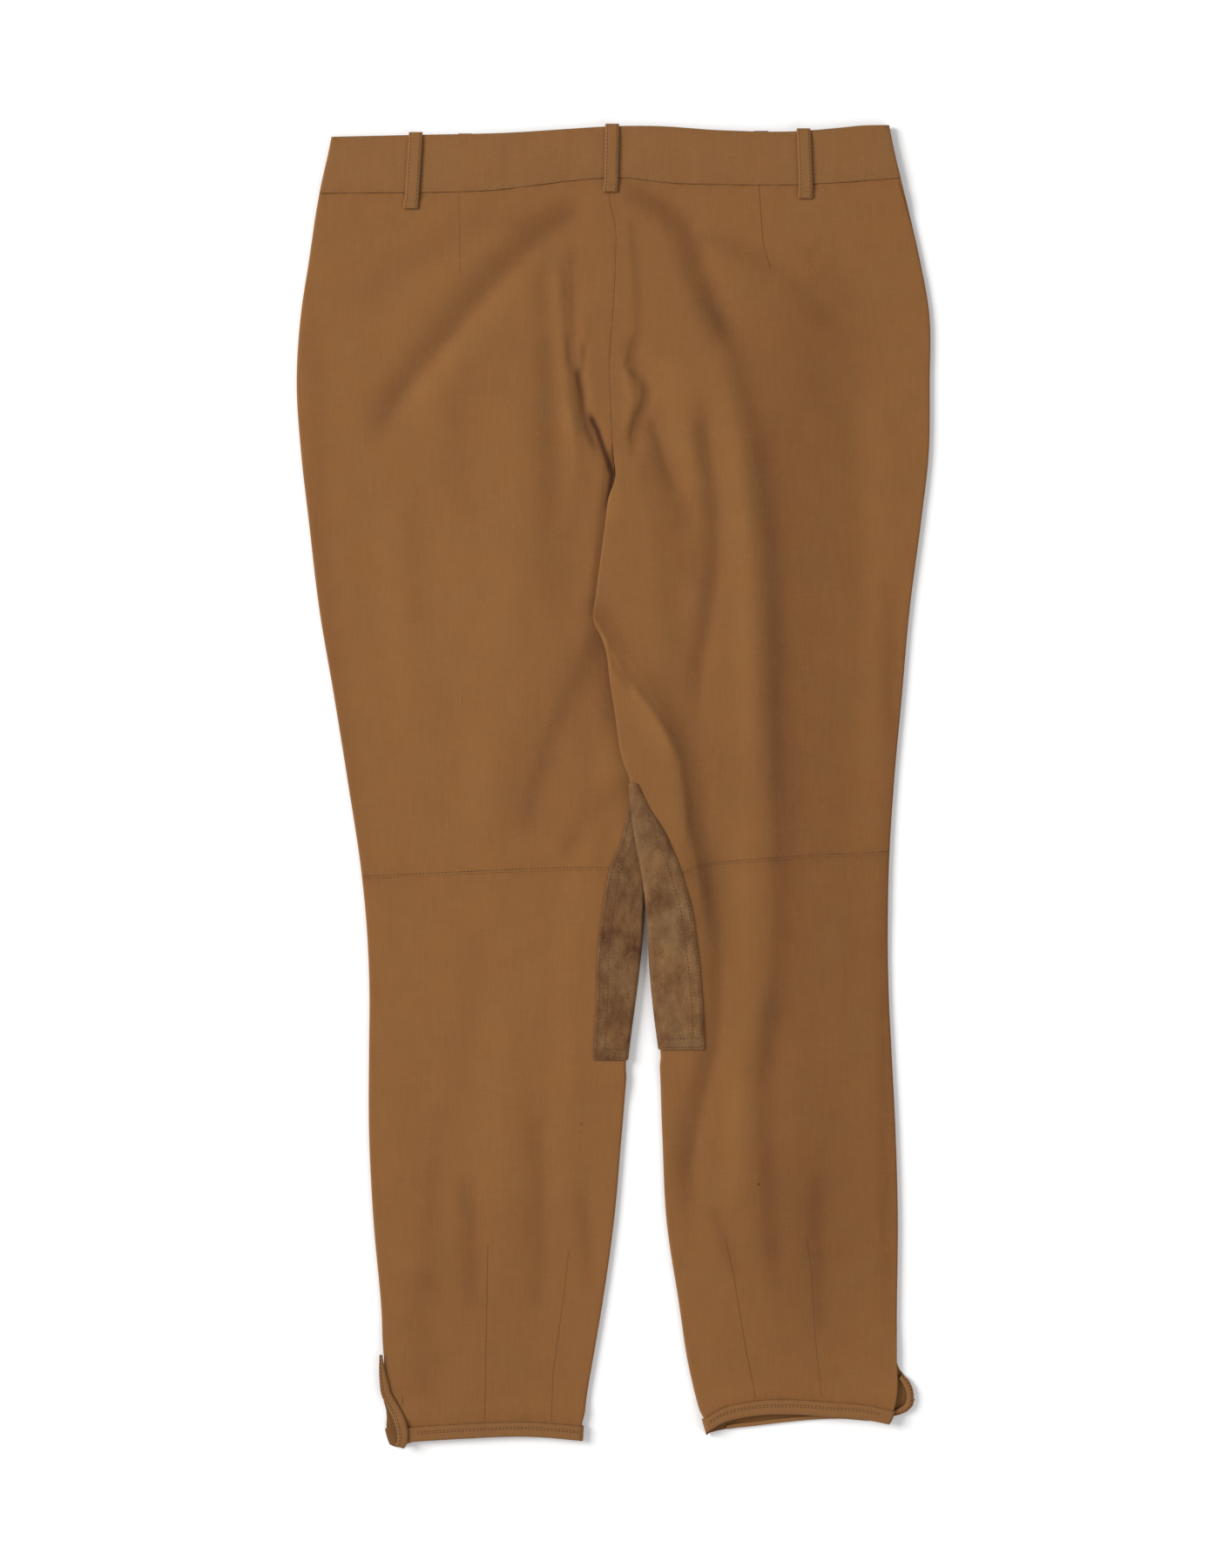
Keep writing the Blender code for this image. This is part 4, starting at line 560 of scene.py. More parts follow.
class Leg:
    """The edges of one leg and the heights of its lower and upper skins."""

    def __init__(self, side):
        self.side = side
        self.right = side == "right"
        self.outer = RIGHT_OUTER if self.right else LEFT_OUTER
        self.inner = CENTRE_SEAM + (RIGHT_INNER if self.right else LEFT_INNER)
        self.knee = RIGHT_KNEE_SEAM if self.right else LEFT_KNEE_SEAM
        self.back_hem = RIGHT_BACK_HEM if self.right else LEFT_BACK_HEM
        self.front_hem = RIGHT_FRONT_HEM if self.right else LEFT_FRONT_HEM
        self.back_vent = RIGHT_BACK_VENT if self.right else LEFT_BACK_VENT
        self.front_vent = RIGHT_FRONT_VENT if self.right else LEFT_FRONT_VENT
        self.patch = RIGHT_PATCH_WIDTH if self.right else LEFT_PATCH_WIDTH
        self.patch_foot = RIGHT_PATCH_FOOT_Y if self.right else LEFT_PATCH_FOOT_Y
        self.inward = -1.0 if self.right else 1.0

    def patch_wrap(self, y):
        """1 where the patch wraps the inner edge, 0 above and below it."""
        end = WRAP_HOLD + WRAP_FADE
        above = rise(y, PATCH_TOP_Y + end, PATCH_TOP_Y + WRAP_HOLD)
        return above * rise(y, self.patch_foot - end, self.patch_foot - WRAP_HOLD)

    def hem_wrap(self, y):
        """1 where the hem's binding wraps the inner edge, 0 above it."""
        top = through(self.front_hem, through(self.inner, y)) + HEM_BAND
        return rise(y, top + WRAP_FADE, top + WRAP_HOLD)

    def inner_x(self, y):
        """The inner edge of the cloth. It is set back under the suede and under the hem's binding."""
        edge = through(self.inner, y)
        under_suede = (PATCH_STACK - SEAM / 2) * self.patch_wrap(y)
        under_binding = (HEM_STACK - SEAM / 2) * self.hem_wrap(y)
        tuck = 0.0 if self.right else CROTCH_TUCK * rise(y, *TUCK_HEAD) * rise(y, *TUCK_FOOT)
        return edge - self.inward * (CLOSE - tuck + under_suede + under_binding)

    def outer_x(self, y, vent):
        return through(self.outer + vent, y)

    def from_inner(self, x, y):
        return (through(self.inner, y) - x) * self.inward

    def overlap(self, y):
        """How far the right leg's inner edge reaches over the left one's."""
        width = through(CENTRE_SEAM + LEFT_INNER, y) - through(CENTRE_SEAM + RIGHT_INNER, y)
        return np.where(y > CROTCH_Y, 0.0, np.maximum(width, 0.0))

    def crossing(self, y):
        """1 where the legs lie on each other, 0 well above and below."""
        joined = CROTCH_Y + CROTCH_CLEAR
        return rise(y, joined + CLOSING, joined) * rise(y, LEGS_APART_Y, LEGS_TOUCH_Y)

    def low(self, x, y):
        """The height of the lower skin, which lies on the surface but for what is under it."""
        depth = self.from_inner(x, y)
        width = through(self.patch, np.clip(y, self.patch_foot, PATCH_TOP_Y)) + PATCH_HOLD
        patch = rise(depth, width + PATCH_FADE, width)
        patch = patch * rise(y, PATCH_TOP_Y + PATCH_HOLD + PATCH_FADE, PATCH_TOP_Y + PATCH_HOLD)
        patch = patch * rise(y, self.patch_foot - PATCH_HOLD - PATCH_FADE, self.patch_foot - PATCH_HOLD)
        waist_y = through(WAIST_SEAM, x) - WAIST_HOLD
        waist = rise(y, waist_y - WAIST_FADE, waist_y)
        hem_y = through(self.front_hem, x) + HEM_HOLD
        hem = rise(y, hem_y + HEM_FADE, hem_y)
        height = PATCH_STACK * patch + (BAND_LIFT - SEAM) * waist + HEM_STACK * hem
        if self.right:
            at_patch = rise(y, PATCH_TOP_Y + CROSSING_FADE_AT_PATCH, PATCH_TOP_Y + CROSSING_HOLD)
            lift = CROSSING_LIFT + (CROSSING_LIFT_AT_PATCH - CROSSING_LIFT) * at_patch
            fade = CROSSING_FADE + (CROSSING_FADE_AT_PATCH - CROSSING_FADE) * at_patch
            hold = self.overlap(y) + CROSSING_HOLD
            height = height + lift * rise(depth, hold + fade, hold) * self.crossing(y)
        return height

    def stack(self, x, y):
        """The height from the lower skin to the upper one."""
        full = LEG_HEIGHT + relief(FOLDS, x, y, self.side)
        if self.right:
            hem = through(self.back_hem, x)
            full = full + GAPE * rise(y, hem + HEM_HOLD + HEM_FADE, hem)
        full = eased(full, LEAST_HEIGHT, MOST_HEIGHT)
        full = np.maximum(full + relief(FINE_FOLDS, x, y, self.side), CREASED_HEIGHT)
        if self.right:
            return full
        hold = self.overlap(y) + CROSSING_HOLD
        under = rise(self.from_inner(x, y), hold + CROSSING_FADE, hold) * self.crossing(y)
        return full + (PRESSED_HEIGHT - full) * under

    def top(self, x, y):
        return self.low(x, y) + self.stack(x, y)

    def tone(self, x, y):
        """Painted shade and painted light: how much paler or darker the cloth is painted than elsewhere, from its folds
        and its listed stretches.
        """
        folds = relief(FOLDS, x, y, self.side) + 1.4 * relief(FINE_FOLDS, x, y, self.side)
        return np.clip(PAINTED_SHADE_OF_A_FOLD * folds + relief(PAINTED_LIGHT_AND_SHADE, x, y, self.side), DARKEST, PALEST)

    def closed_inner(self, y):
        """0 where the two legs are sewn at the centre seam, 1 where the leg is a tube."""
        return rise(y, CROTCH_Y + SEAM, CROTCH_Y - CLOSING)

    def closed_outer(self, y):
        return rise(y, VENT_TOP_Y, VENT_TOP_Y + CLOSING)

    def edge_stack(self, edge, y):
        """Half the stack at an edge of the cloth, and the height of its middle."""
        half = self.stack(edge, y) / 2
        return half, self.low(edge, y) + half

    def rim(self, edge, y, inward, closed):
        """The x of the columns of one edge, turned where the leg is closed there."""
        half, _ = self.edge_stack(edge, y)
        turned, _ = turned_edge(half, 0.0)
        opened = np.linspace(0.0, OPEN_EDGE, RIM_POINTS)
        upright = np.minimum(closed / UPRIGHT_AT, 1.0)
        return edge + inward * (opened + (turned - opened) * upright)

    def columns(self, y, vent):
        """Every column's x: a rim, close steps near the inner edge, even cells and the other rim."""
        inner_y, outer_y = (y[:, :1], y[:, -1:]) if self.right else (y[:, -1:], y[:, :1])
        inner, outer = self.inner_x(inner_y), self.outer_x(outer_y, vent)
        away = -self.inward
        inner_rim = self.rim(inner, inner_y, away, self.closed_inner(inner_y))
        outer_rim = self.rim(outer, outer_y, self.inward, self.closed_outer(outer_y))
        near = inner + away * NEAR_STEPS
        far = outer + self.inward * np.array(FAR_STEPS)
        shares = np.linspace(0, 1, MIDDLE_CELLS + 1)[1:-1]
        middle = near[:, -1:] + (far[:, :1] - near[:, -1:]) * shares
        from_inner = np.hstack([inner_rim, near, middle, far, outer_rim[:, ::-1]])
        return from_inner if self.right else from_inner[:, ::-1]

    def grid(self, rows, top_line, bottom_line, vent, skin):
        """x, y and z of a panel's outer skin, as rows from top to bottom and columns along +X."""
        start, stop = rows[0], rows[-1]
        share = ((start - rows) / (start - stop))[:, None]
        y = np.repeat(rows[:, None], 2, axis=1)
        x = None
        for _ in range(SETTLING):
            x = self.columns(y, vent)
            above, below = through(top_line, x), through(bottom_line, x)
            y = above + (below - above) * share
        return x, y, self.skin_height(x, y, skin)

    def skin_height(self, x, y, skin):
        """Heights of a skin. Closed edges turn to meet the other skin half way, and open ones roll down."""
        sign = 1.0 if skin == "upper" else -1.0
        z = self.top(x, y) if skin == "upper" else self.low(x, y)
        last = x.shape[1] - 1
        inner_at, outer_at = (0, last) if self.right else (last, 0)
        for at, closed in ((inner_at, self.closed_inner), (outer_at, self.closed_outer)):
            step = 1 if at == 0 else -1
            half, middle = self.edge_stack(x[:, [at]], y[:, [at]])
            _, turned = turned_edge(half, 0.0)
            share = closed(y[:, at])
            for column in range(RIM_POINTS):
                here = at + column * step
                height = middle[:, 0] + sign * turned[:, column]
                z[:, here] = z[:, here] + (height - z[:, here]) * share
            open_share = (1.0 - closed(y[:, [at]])) * np.ones_like(x)
            z = rolled(z, np.abs(x - x[:, [at]]), sign * open_share)
        return z


LEFT = Leg("left")
RIGHT = Leg("right")
LEGS = (LEFT, RIGHT)


# Finishes: helpers that place and join nodes

def add(tree, kind, inputs=(), **settings):
    """A node with its settings, and its inputs joined to sockets or set to values."""
    made = tree.nodes.new(kind)
    for name, value in settings.items():
        setattr(made, name, value)
    for place, value in dict(inputs).items():
        if isinstance(value, bpy.types.NodeSocket):
            tree.links.new(value, made.inputs[place])
        else:
            made.inputs[place].default_value = value
    return made


def calculate(tree, operation, a, b=0.0, c=0.0, clamp=False):
    return add(tree, "ShaderNodeMath", {0: a, 1: b, 2: c}, operation=operation, use_clamp=clamp).outputs[0]


def total(tree, *values):
    sum_so_far = values[0]
    for value in values[1:]:
        sum_so_far = calculate(tree, "ADD", sum_so_far, value)
    return sum_so_far


def swing(tree, value, share):
    """A value from 0 to 1 as a swing round nought of that share."""
    return calculate(tree, "MULTIPLY_ADD", value, share, -0.5 * share)


def noise(tree, place, scale, detail=2.0, roughness=0.5):
    inputs = {"Vector": place, "Scale": scale, "Detail": detail, "Roughness": roughness}
    return add(tree, "ShaderNodeTexNoise", inputs, noise_dimensions="3D").outputs["Fac"]


def stretched(tree, place, scale, turn=0.0):
    inputs = {"Vector": place, "Scale": scale, "Rotation": (0.0, 0.0, turn)}
    return add(tree, "ShaderNodeMapping", inputs).outputs["Vector"]


def contrast(tree, value, low, high, least=0.0, most=1.0):
    inputs = {"Value": value, "From Min": low, "From Max": high, "To Min": least, "To Max": most}
    return add(tree, "ShaderNodeMapRange", inputs, interpolation_type="SMOOTHSTEP").outputs["Result"]


def new_group(name, inputs, outputs):
    """A shader node group with named sockets, and its two end nodes."""
    tree = bpy.data.node_groups.new(name, "ShaderNodeTree")
    for label, kind, value in inputs:
        socket = tree.interface.new_socket(name=label, in_out="INPUT", socket_type=kind)
        if value is not None:
            socket.default_value = value
    for label, kind in outputs:
        tree.interface.new_socket(name=label, in_out="OUTPUT", socket_type=kind)
    given = tree.nodes.new("NodeGroupInput").outputs
    result = tree.nodes.new("NodeGroupOutput").inputs
    return tree, given, result


VALUE = "NodeSocketFloat"
VECTOR = "NodeSocketVector"


def twill_weave_group():
    """Steep diagonal ribs with a fine crossing thread."""
    name = "twill weave"
    if name in bpy.data.node_groups:
        return bpy.data.node_groups[name]
    tree, given, result = new_group(
        name, (("Place", VECTOR, None), ("Pitch", VALUE, 0.0006)), (("Shade", VALUE), ("Height", VALUE))
    )
    apart = add(tree, "ShaderNodeSeparateXYZ", {0: given["Place"]})
    u, v = apart.outputs[0], apart.outputs[1]
    waver = swing(tree, noise(tree, given["Place"], 260.0), 0.0009)
    slant = total(tree, calculate(tree, "MULTIPLY", u, 0.883), calculate(tree, "MULTIPLY", v, 0.469), waver)
    turns = calculate(tree, "MULTIPLY", calculate(tree, "DIVIDE", slant, given["Pitch"]), 2 * math.pi)
    rib = calculate(tree, "MULTIPLY_ADD", calculate(tree, "SINE", turns), 0.5, 0.5)
    rows = calculate(tree, "MULTIPLY", calculate(tree, "DIVIDE", v, given["Pitch"]), 4 * math.pi)
    thread = calculate(tree, "MULTIPLY_ADD", calculate(tree, "SINE", rows), 0.5, 0.5)
    woven = calculate(tree, "MULTIPLY_ADD", thread, 0.25, calculate(tree, "MULTIPLY", rib, 0.75))
    tree.links.new(woven, result["Shade"])
    tree.links.new(woven, result["Height"])
    return tree


def cloth_wear_group():
    """Streaks along the warp, slubs, mottling and rubbed places of a washed cotton cloth, and painted light and shade
    on the puckers near seams.
    """
    name = "washed cotton"
    if name in bpy.data.node_groups:
        return bpy.data.node_groups[name]
    outputs = (("Shade", VALUE), ("Hue", VALUE), ("Height", VALUE))
    tree, given, result = new_group(name, (("Place", VECTOR, None), ("Seam", VALUE, 0.0)), outputs)
    place = given["Place"]
    streaks = noise(tree, stretched(tree, place, (620.0, 38.0, 620.0)), 1.0, 3.0, 0.6)
    slubs = noise(tree, stretched(tree, place, (90.0, 900.0, 90.0)), 1.0, 2.0, 0.5)
    grain = noise(tree, place, 1100.0, 2.0, 0.7)
    mottle = noise(tree, place, 55.0, 4.0, 0.6)
    broad = noise(tree, stretched(tree, place, (9.0, 5.0, 9.0)), 1.0, 2.0, 0.5)
    shade = total(
        tree, swing(tree, streaks, 0.16), swing(tree, slubs, 0.08), swing(tree, grain, 0.30),
        swing(tree, mottle, 0.12), swing(tree, broad, 0.08),
    )
    # Puckers near seams: a bump, and painted light and shade that swing round nought
    pucker = noise(tree, place, 210.0, 1.0, 0.4)
    puckered = calculate(tree, "MULTIPLY", swing(tree, pucker, 1.0), given["Seam"])
    shade = total(tree, shade, calculate(tree, "MULTIPLY", puckered, 0.22))
    height = total(tree, calculate(tree, "MULTIPLY", streaks, 0.35), calculate(tree, "MULTIPLY", grain, 0.2))
    height = calculate(tree, "MULTIPLY_ADD", puckered, 3.2, height)
    tree.links.new(shade, result["Shade"])
    tree.links.new(contrast(tree, noise(tree, place, 34.0, 3.0, 0.6), 0.35, 0.65), result["Hue"])
    tree.links.new(height, result["Height"])
    return tree


def sewn_line_group():
    """1 on a short straight line between two places, seen from above, and 0 beyond its half width."""
    name = "sewn line"
    if name in bpy.data.node_groups:
        return bpy.data.node_groups[name]
    inputs = (("Place", VECTOR, None), ("Start", VECTOR, None), ("End", VECTOR, None), ("Half Width", VALUE, 0.001))
    tree, given, result = new_group(name, inputs, (("Mask", VALUE),))

    def on_vectors(operation, a, b):
        made = add(tree, "ShaderNodeVectorMath", {0: a, 1: b}, operation=operation)
        return made.outputs["Value" if operation in ("DOT_PRODUCT", "LENGTH") else "Vector"]

    level = on_vectors("MULTIPLY", given["Place"], (1.0, 1.0, 0.0))
    reach = on_vectors("SUBTRACT", given["End"], given["Start"])
    away = on_vectors("SUBTRACT", level, given["Start"])
    share = calculate(
        tree, "DIVIDE", on_vectors("DOT_PRODUCT", away, reach), on_vectors("DOT_PRODUCT", reach, reach), clamp=True
    )
    nearest = add(tree, "ShaderNodeVectorMath", {0: reach, "Scale": share}, operation="SCALE").outputs["Vector"]
    apart = on_vectors("SUBTRACT", away, nearest)
    distance = calculate(tree, "DIVIDE", on_vectors("LENGTH", apart, (0.0, 0.0, 0.0)), given["Half Width"])
    tree.links.new(contrast(tree, distance, 0.0, 1.0, 1.0, 0.0), result["Mask"])
    return tree


def suede_nap_group():
    """A short brushed nap with stroked patches and rubbed, greasy places."""
    name = "suede nap"
    if name in bpy.data.node_groups:
        return bpy.data.node_groups[name]
    tree, given, result = new_group(name, (("Place", VECTOR, None),), (("Shade", VALUE), ("Height", VALUE)))
    place = given["Place"]
    fibre = noise(tree, stretched(tree, place, (900.0, 420.0, 900.0), 0.5), 1.0, 3.0, 0.7)
    strokes = noise(tree, stretched(tree, place, (130.0, 60.0, 130.0), -0.4), 1.0, 3.0, 0.6)
    clouds = noise(tree, stretched(tree, place, (70.0, 44.0, 70.0), 0.3), 1.0, 4.0, 0.62)
    rubbed = contrast(tree, noise(tree, place, 30.0, 2.0, 0.5), 0.56, 0.70)
    shade = total(
        tree, swing(tree, fibre, 0.70), swing(tree, strokes, 0.75), swing(tree, clouds, 1.15),
        calculate(tree, "MULTIPLY", rubbed, -0.26),
    )
    height = calculate(tree, "MULTIPLY_ADD", fibre, 0.8, calculate(tree, "MULTIPLY", strokes, 0.6))
    tree.links.new(shade, result["Shade"])
    tree.links.new(height, result["Height"])
    return tree


def placed_group(tree, group, inputs):
    made = add(tree, "ShaderNodeGroup", node_tree=group)
    for name, value in inputs.items():
        if isinstance(value, bpy.types.NodeSocket):
            tree.links.new(value, made.inputs[name])
        else:
            made.inputs[name].default_value = value
    return made.outputs


def blank_finish(name, roughness, specular):
    material = bpy.data.materials.new(name)
    material.use_nodes = True
    tree = material.node_tree
    shader = tree.nodes["Principled BSDF"]
    shader.inputs["Roughness"].default_value = roughness
    shader.inputs["Specular IOR Level"].default_value = specular
    return material, tree, shader


def surface_value(tree, name):
    return add(tree, "ShaderNodeAttribute", attribute_type="GEOMETRY", attribute_name=name).outputs["Fac"]


def shaded(tree, colour_a, colour_b, hue, brightness, warmth=1.0):
    """Two near colours mixed by a mask, then made paler or darker. Warmth above 1 makes dark places redder: painted
    reddish bounce light in the shade.
    """
    mixed = add(
        tree, "ShaderNodeMix", {0: hue, 6: (*colour_a, 1.0), 7: (*colour_b, 1.0)}, data_type="RGBA"
    ).outputs[2]
    green = calculate(tree, "POWER", brightness, warmth)
    blue = calculate(tree, "POWER", brightness, 1.0 + 1.15 * (warmth - 1.0))
    share = add(tree, "ShaderNodeCombineXYZ", {0: brightness, 1: green, 2: blue}).outputs["Vector"]
    return add(tree, "ShaderNodeVectorMath", {0: mixed, 1: share}, operation="MULTIPLY").outputs["Vector"]


def tinted(colour, red, green, blue):
    return (colour[0] * red, colour[1] * green, colour[2] * blue)


def twill_finish(node, finishes, lines):
    """The twill's outer and inner sides for one piece. A panel has its own, with its darts and creases."""
    base, share = finishes
    rows = [row for row in SEWN_LINES if row[0] == node] if lines else []
    made = []
    # The inner side is a fifth darker: painted shade inside the legs and bindings
    for side, factor in (("outer", 1.0), ("inner", 0.80)):
        label = f"{base} {node if rows else 'plain'} {side}"
        if label in bpy.data.materials:
            made.append(bpy.data.materials[label])
            continue
        colour = tuple(channel * factor * share for channel in getattr(bpy.context.scene.trouser_colours, base))
        made.append(cotton_twill(label, colour, rows if side == "outer" else ()))
    return made


def cotton_twill(label, colour, rows):
    sizes = bpy.context.scene.trouser_sizes
    material, tree, shader = blank_finish(label, 0.88, 0.22)
    place = add(tree, "ShaderNodeTexCoord").outputs["Object"]
    flat = add(tree, "ShaderNodeUVMap", uv_map="UVMap").outputs["UV"]
    seam = surface_value(tree, "seam")
    weave = placed_group(tree, twill_weave_group(), {"Place": flat, "Pitch": sizes.twill_pitch})
    wear = placed_group(tree, cloth_wear_group(), {"Place": place, "Seam": seam})
    tone = surface_value(tree, "tone")
    # Brightness: the weave, the washed cotton with the painted light and shade of its puckers, the painted shade and
    # light of the folds and stretches, and painted shade along the seams
    brightness = total(
        tree, 1.0, swing(tree, weave["Shade"], 0.16), wear["Shade"], tone,
        calculate(tree, "MULTIPLY", seam, -0.05),
    )
    cut = None
    for _, half_width, darkness, route in rows:
        places = [(x - MIDDLE_X, y - MIDDLE_Y, 0.0) for x, y in route]
        for start, end in zip(places, places[1:]):
            values = {"Place": place, "Start": start, "End": end, "Half Width": half_width}
            mask = placed_group(tree, sewn_line_group(), values)["Mask"]
            mask = calculate(tree, "MULTIPLY", mask, darkness)
            cut = mask if cut is None else calculate(tree, "MAXIMUM", cut, mask)
    height = calculate(tree, "MULTIPLY_ADD", weave["Height"], 0.8, wear["Height"])
    if cut is not None:
        left = calculate(tree, "SUBTRACT", 1.0, cut)
        brightness = calculate(tree, "MULTIPLY", brightness, left)
        height = calculate(tree, "MULTIPLY_ADD", cut, -4.0, height)
    colour_a, colour_b = tinted(colour, 1.015, 0.99, 0.97), tinted(colour, 0.99, 1.005, 1.03)
    brightness = calculate(tree, "MAXIMUM", brightness, 0.08)
    tree.links.new(shaded(tree, colour_a, colour_b, wear["Hue"], brightness, 1.20), shader.inputs["Base Color"])
    bump = add(tree, "ShaderNodeBump", {"Strength": 0.45, "Distance": 0.00018, "Height": height})
    tree.links.new(bump.outputs["Normal"], shader.inputs["Normal"])
    shader.inputs["Sheen Weight"].default_value = 0.12
    shader.inputs["Sheen Roughness"].default_value = 0.5
    shader.inputs["Sheen Tint"].default_value = (1.0, 0.86, 0.66, 1.0)
    return material


def brushed_suede():
    colour = tuple(bpy.context.scene.trouser_colours.suede)
    material, tree, shader = blank_finish("brushed suede", 0.96, 0.12)
    place = add(tree, "ShaderNodeTexCoord").outputs["Object"]
    nap = placed_group(tree, suede_nap_group(), {"Place": place})
    tone, seam = surface_value(tree, "tone"), surface_value(tree, "seam")
    # Brightness: the nap, the painted shade from the folds and beside the right leg, and painted shade along the
    # patch's edges
    brightness = total(
        tree, 1.0, nap["Shade"], calculate(tree, "MULTIPLY", tone, 0.90), calculate(tree, "MULTIPLY", seam, -0.05)
    )
    brightness = calculate(tree, "MAXIMUM", brightness, 0.15)
    hue = contrast(tree, noise(tree, place, 26.0, 3.0, 0.6), 0.38, 0.62)
    colour_a, colour_b = tinted(colour, 1.02, 0.98, 0.94), tinted(colour, 0.98, 1.01, 1.06)
    tree.links.new(shaded(tree, colour_a, colour_b, hue, brightness, 1.28), shader.inputs["Base Color"])
    bump = add(tree, "ShaderNodeBump", {"Strength": 0.5, "Distance": 0.00022, "Height": nap["Height"]})
    tree.links.new(bump.outputs["Normal"], shader.inputs["Normal"])
    shader.inputs["Sheen Weight"].default_value = 0.28
    shader.inputs["Sheen Roughness"].default_value = 0.45
    shader.inputs["Sheen Tint"].default_value = (1.0, 0.88, 0.72, 1.0)
    return material


def twisted_thread():
    colour = tuple(bpy.context.scene.trouser_colours.thread)
    material, tree, shader = blank_finish("twisted thread", 0.62, 0.35)
    place = add(tree, "ShaderNodeTexCoord").outputs["Object"]
    ply = noise(tree, stretched(tree, place, (2600.0, 2600.0, 2600.0)), 1.0, 1.0, 0.4)
    fade = noise(tree, place, 60.0, 2.0, 0.5)
    brightness = total(tree, 1.0, swing(tree, ply, 0.5), swing(tree, fade, 0.5))
    tree.links.new(
        shaded(tree, tinted(colour, 1.05, 0.97, 0.9), tinted(colour, 0.95, 1.0, 1.05), fade, brightness),
        shader.inputs["Base Color"],
    )
    bump = add(tree, "ShaderNodeBump", {"Strength": 0.4, "Distance": 0.0001, "Height": ply})
    tree.links.new(bump.outputs["Normal"], shader.inputs["Normal"])
    return material


def streaked_horn():
    colour = tuple(bpy.context.scene.trouser_colours.horn)
    material, tree, shader = blank_finish("streaked horn", 0.34, 0.5)
    place = add(tree, "ShaderNodeTexCoord").outputs["Object"]
    streaks = noise(tree, stretched(tree, place, (120.0, 900.0, 400.0), 0.6), 1.0, 4.0, 0.6)
    brightness = total(tree, 1.0, swing(tree, streaks, 1.3))
    tree.links.new(
        shaded(tree, colour, tinted(colour, 1.9, 1.6, 1.3), contrast(tree, streaks, 0.45, 0.7), brightness),
        shader.inputs["Base Color"],
    )
    scuffed = contrast(tree, noise(tree, place, 700.0, 3.0, 0.6), 0.4, 0.7, 0.28, 0.46)
    tree.links.new(scuffed, shader.inputs["Roughness"])
    bump = add(tree, "ShaderNodeBump", {"Strength": 0.2, "Distance": 0.0001, "Height": streaks})
    tree.links.new(bump.outputs["Normal"], shader.inputs["Normal"])
    return material


def pale_floor():
    colour = tuple(bpy.context.scene.trouser_colours.floor)
    material, tree, shader = blank_finish("pale floor", 0.95, 0.1)
    place = add(tree, "ShaderNodeTexCoord").outputs["Object"]
    paper = noise(tree, place, 14.0, 3.0, 0.5)
    brightness = total(tree, 1.0, swing(tree, paper, 0.012))
    tree.links.new(shaded(tree, colour, colour, paper, brightness), shader.inputs["Base Color"])
    return material


def finish_once(name, maker):
    """A finish that several pieces share, made when the first of them asks for it."""
    return bpy.data.materials.get(name) or maker()


def thread_finish():
    return finish_once("twisted thread", twisted_thread)


CLOTH_FINISH = ("twill", 1.0)
BAND_FINISH = ("bands", 1.0)


def laid_flat(x, y, z):
    """U and V in metres along the cloth: U follows each row over its folds and turned edges."""
    steps = np.hypot(np.diff(x, axis=1), np.diff(z, axis=1))
    along = np.hstack([np.zeros((len(x), 1)), np.cumsum(steps, axis=1)])
    middle = x.shape[1] // 2
    return along - along[:, [middle]] + x[:, [middle]], y


def bent_grid(name, x, y, z, face_down, attributes):
    """A grid of faces bent to the given points, with its UV map in metres and its point attributes."""
    rows, columns = x.shape
    shape = bmesh.new()
    bmesh.ops.create_grid(shape, x_segments=columns - 1, y_segments=rows - 1, size=0.5)
    mesh = bpy.data.meshes.new(name)
    shape.to_mesh(mesh)
    shape.free()
    flat = np.empty(3 * len(mesh.vertices))
    mesh.vertices.foreach_get("co", flat)
    flat = flat.reshape(-1, 3)
    column = np.rint((flat[:, 0] + 0.5) * (columns - 1)).astype(int)
    row = np.rint((0.5 - flat[:, 1]) * (rows - 1)).astype(int)
    placed = np.stack([x - MIDDLE_X, y - MIDDLE_Y, z], axis=-1)[row, column]
    mesh.vertices.foreach_set("co", placed.ravel())
    corner = np.empty(len(mesh.loops), np.int32)
    mesh.loops.foreach_get("vertex_index", corner)
    u, v = laid_flat(x, y, z)
    uv = np.stack([u, v], axis=-1)[row, column][corner]
    mesh.uv_layers.new(name="UVMap").data.foreach_set("uv", uv.ravel())
    for attribute, values in attributes.items():
        layer = mesh.attributes.new(attribute, "FLOAT", "POINT")
        layer.data.foreach_set("value", np.broadcast_to(values, x.shape)[row, column].astype(np.float32))
    if face_down:
        mesh.flip_normals()
    mesh.shade_smooth()
    mesh.update()
    return mesh


def shell(node, points, wall, finishes, face_down=False, tone=0.0, seam=0.0):
    """A piece of cloth that stands for a solid: its outer skin and a wall towards the inner side.

    The finishes are the outer side's and the inner side's.
    """
    mesh = bent_grid(f"{node}_cloth", *points, face_down, {"tone": tone, "seam": seam})
    piece = bpy.data.objects.new(f"{node}_cloth", mesh)
    bpy.context.scene.collection.objects.link(piece)
    for finish in finishes:
        mesh.materials.append(finish)
    thick = piece.modifiers.new("Wall", "SOLIDIFY")
    thick.thickness = wall
    thick.offset = -1.0
    thick.use_even_offset = True
    thick.material_offset = len(finishes) - 1
    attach(piece, BODY)
    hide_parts(node)
    return piece


def near_seam(distance, reach=0.0045):
    return np.exp(-np.abs(distance) / reach)


def ruffle(place, strength, seed):
    """Small uneven waves along a seam."""
    chance = random.Random(seed)
    total = np.zeros(np.shape(place))
    for wave in (0.0115, 0.0170, 0.0264, 0.0410):
        total += math.sqrt(wave / 0.026) * np.sin(2 * math.pi * (place / wave + chance.random()))
    return strength * total / 2.5


def lowered(line, by):
    return tuple((x, y - by) for x, y in line)


# Routes of stitching

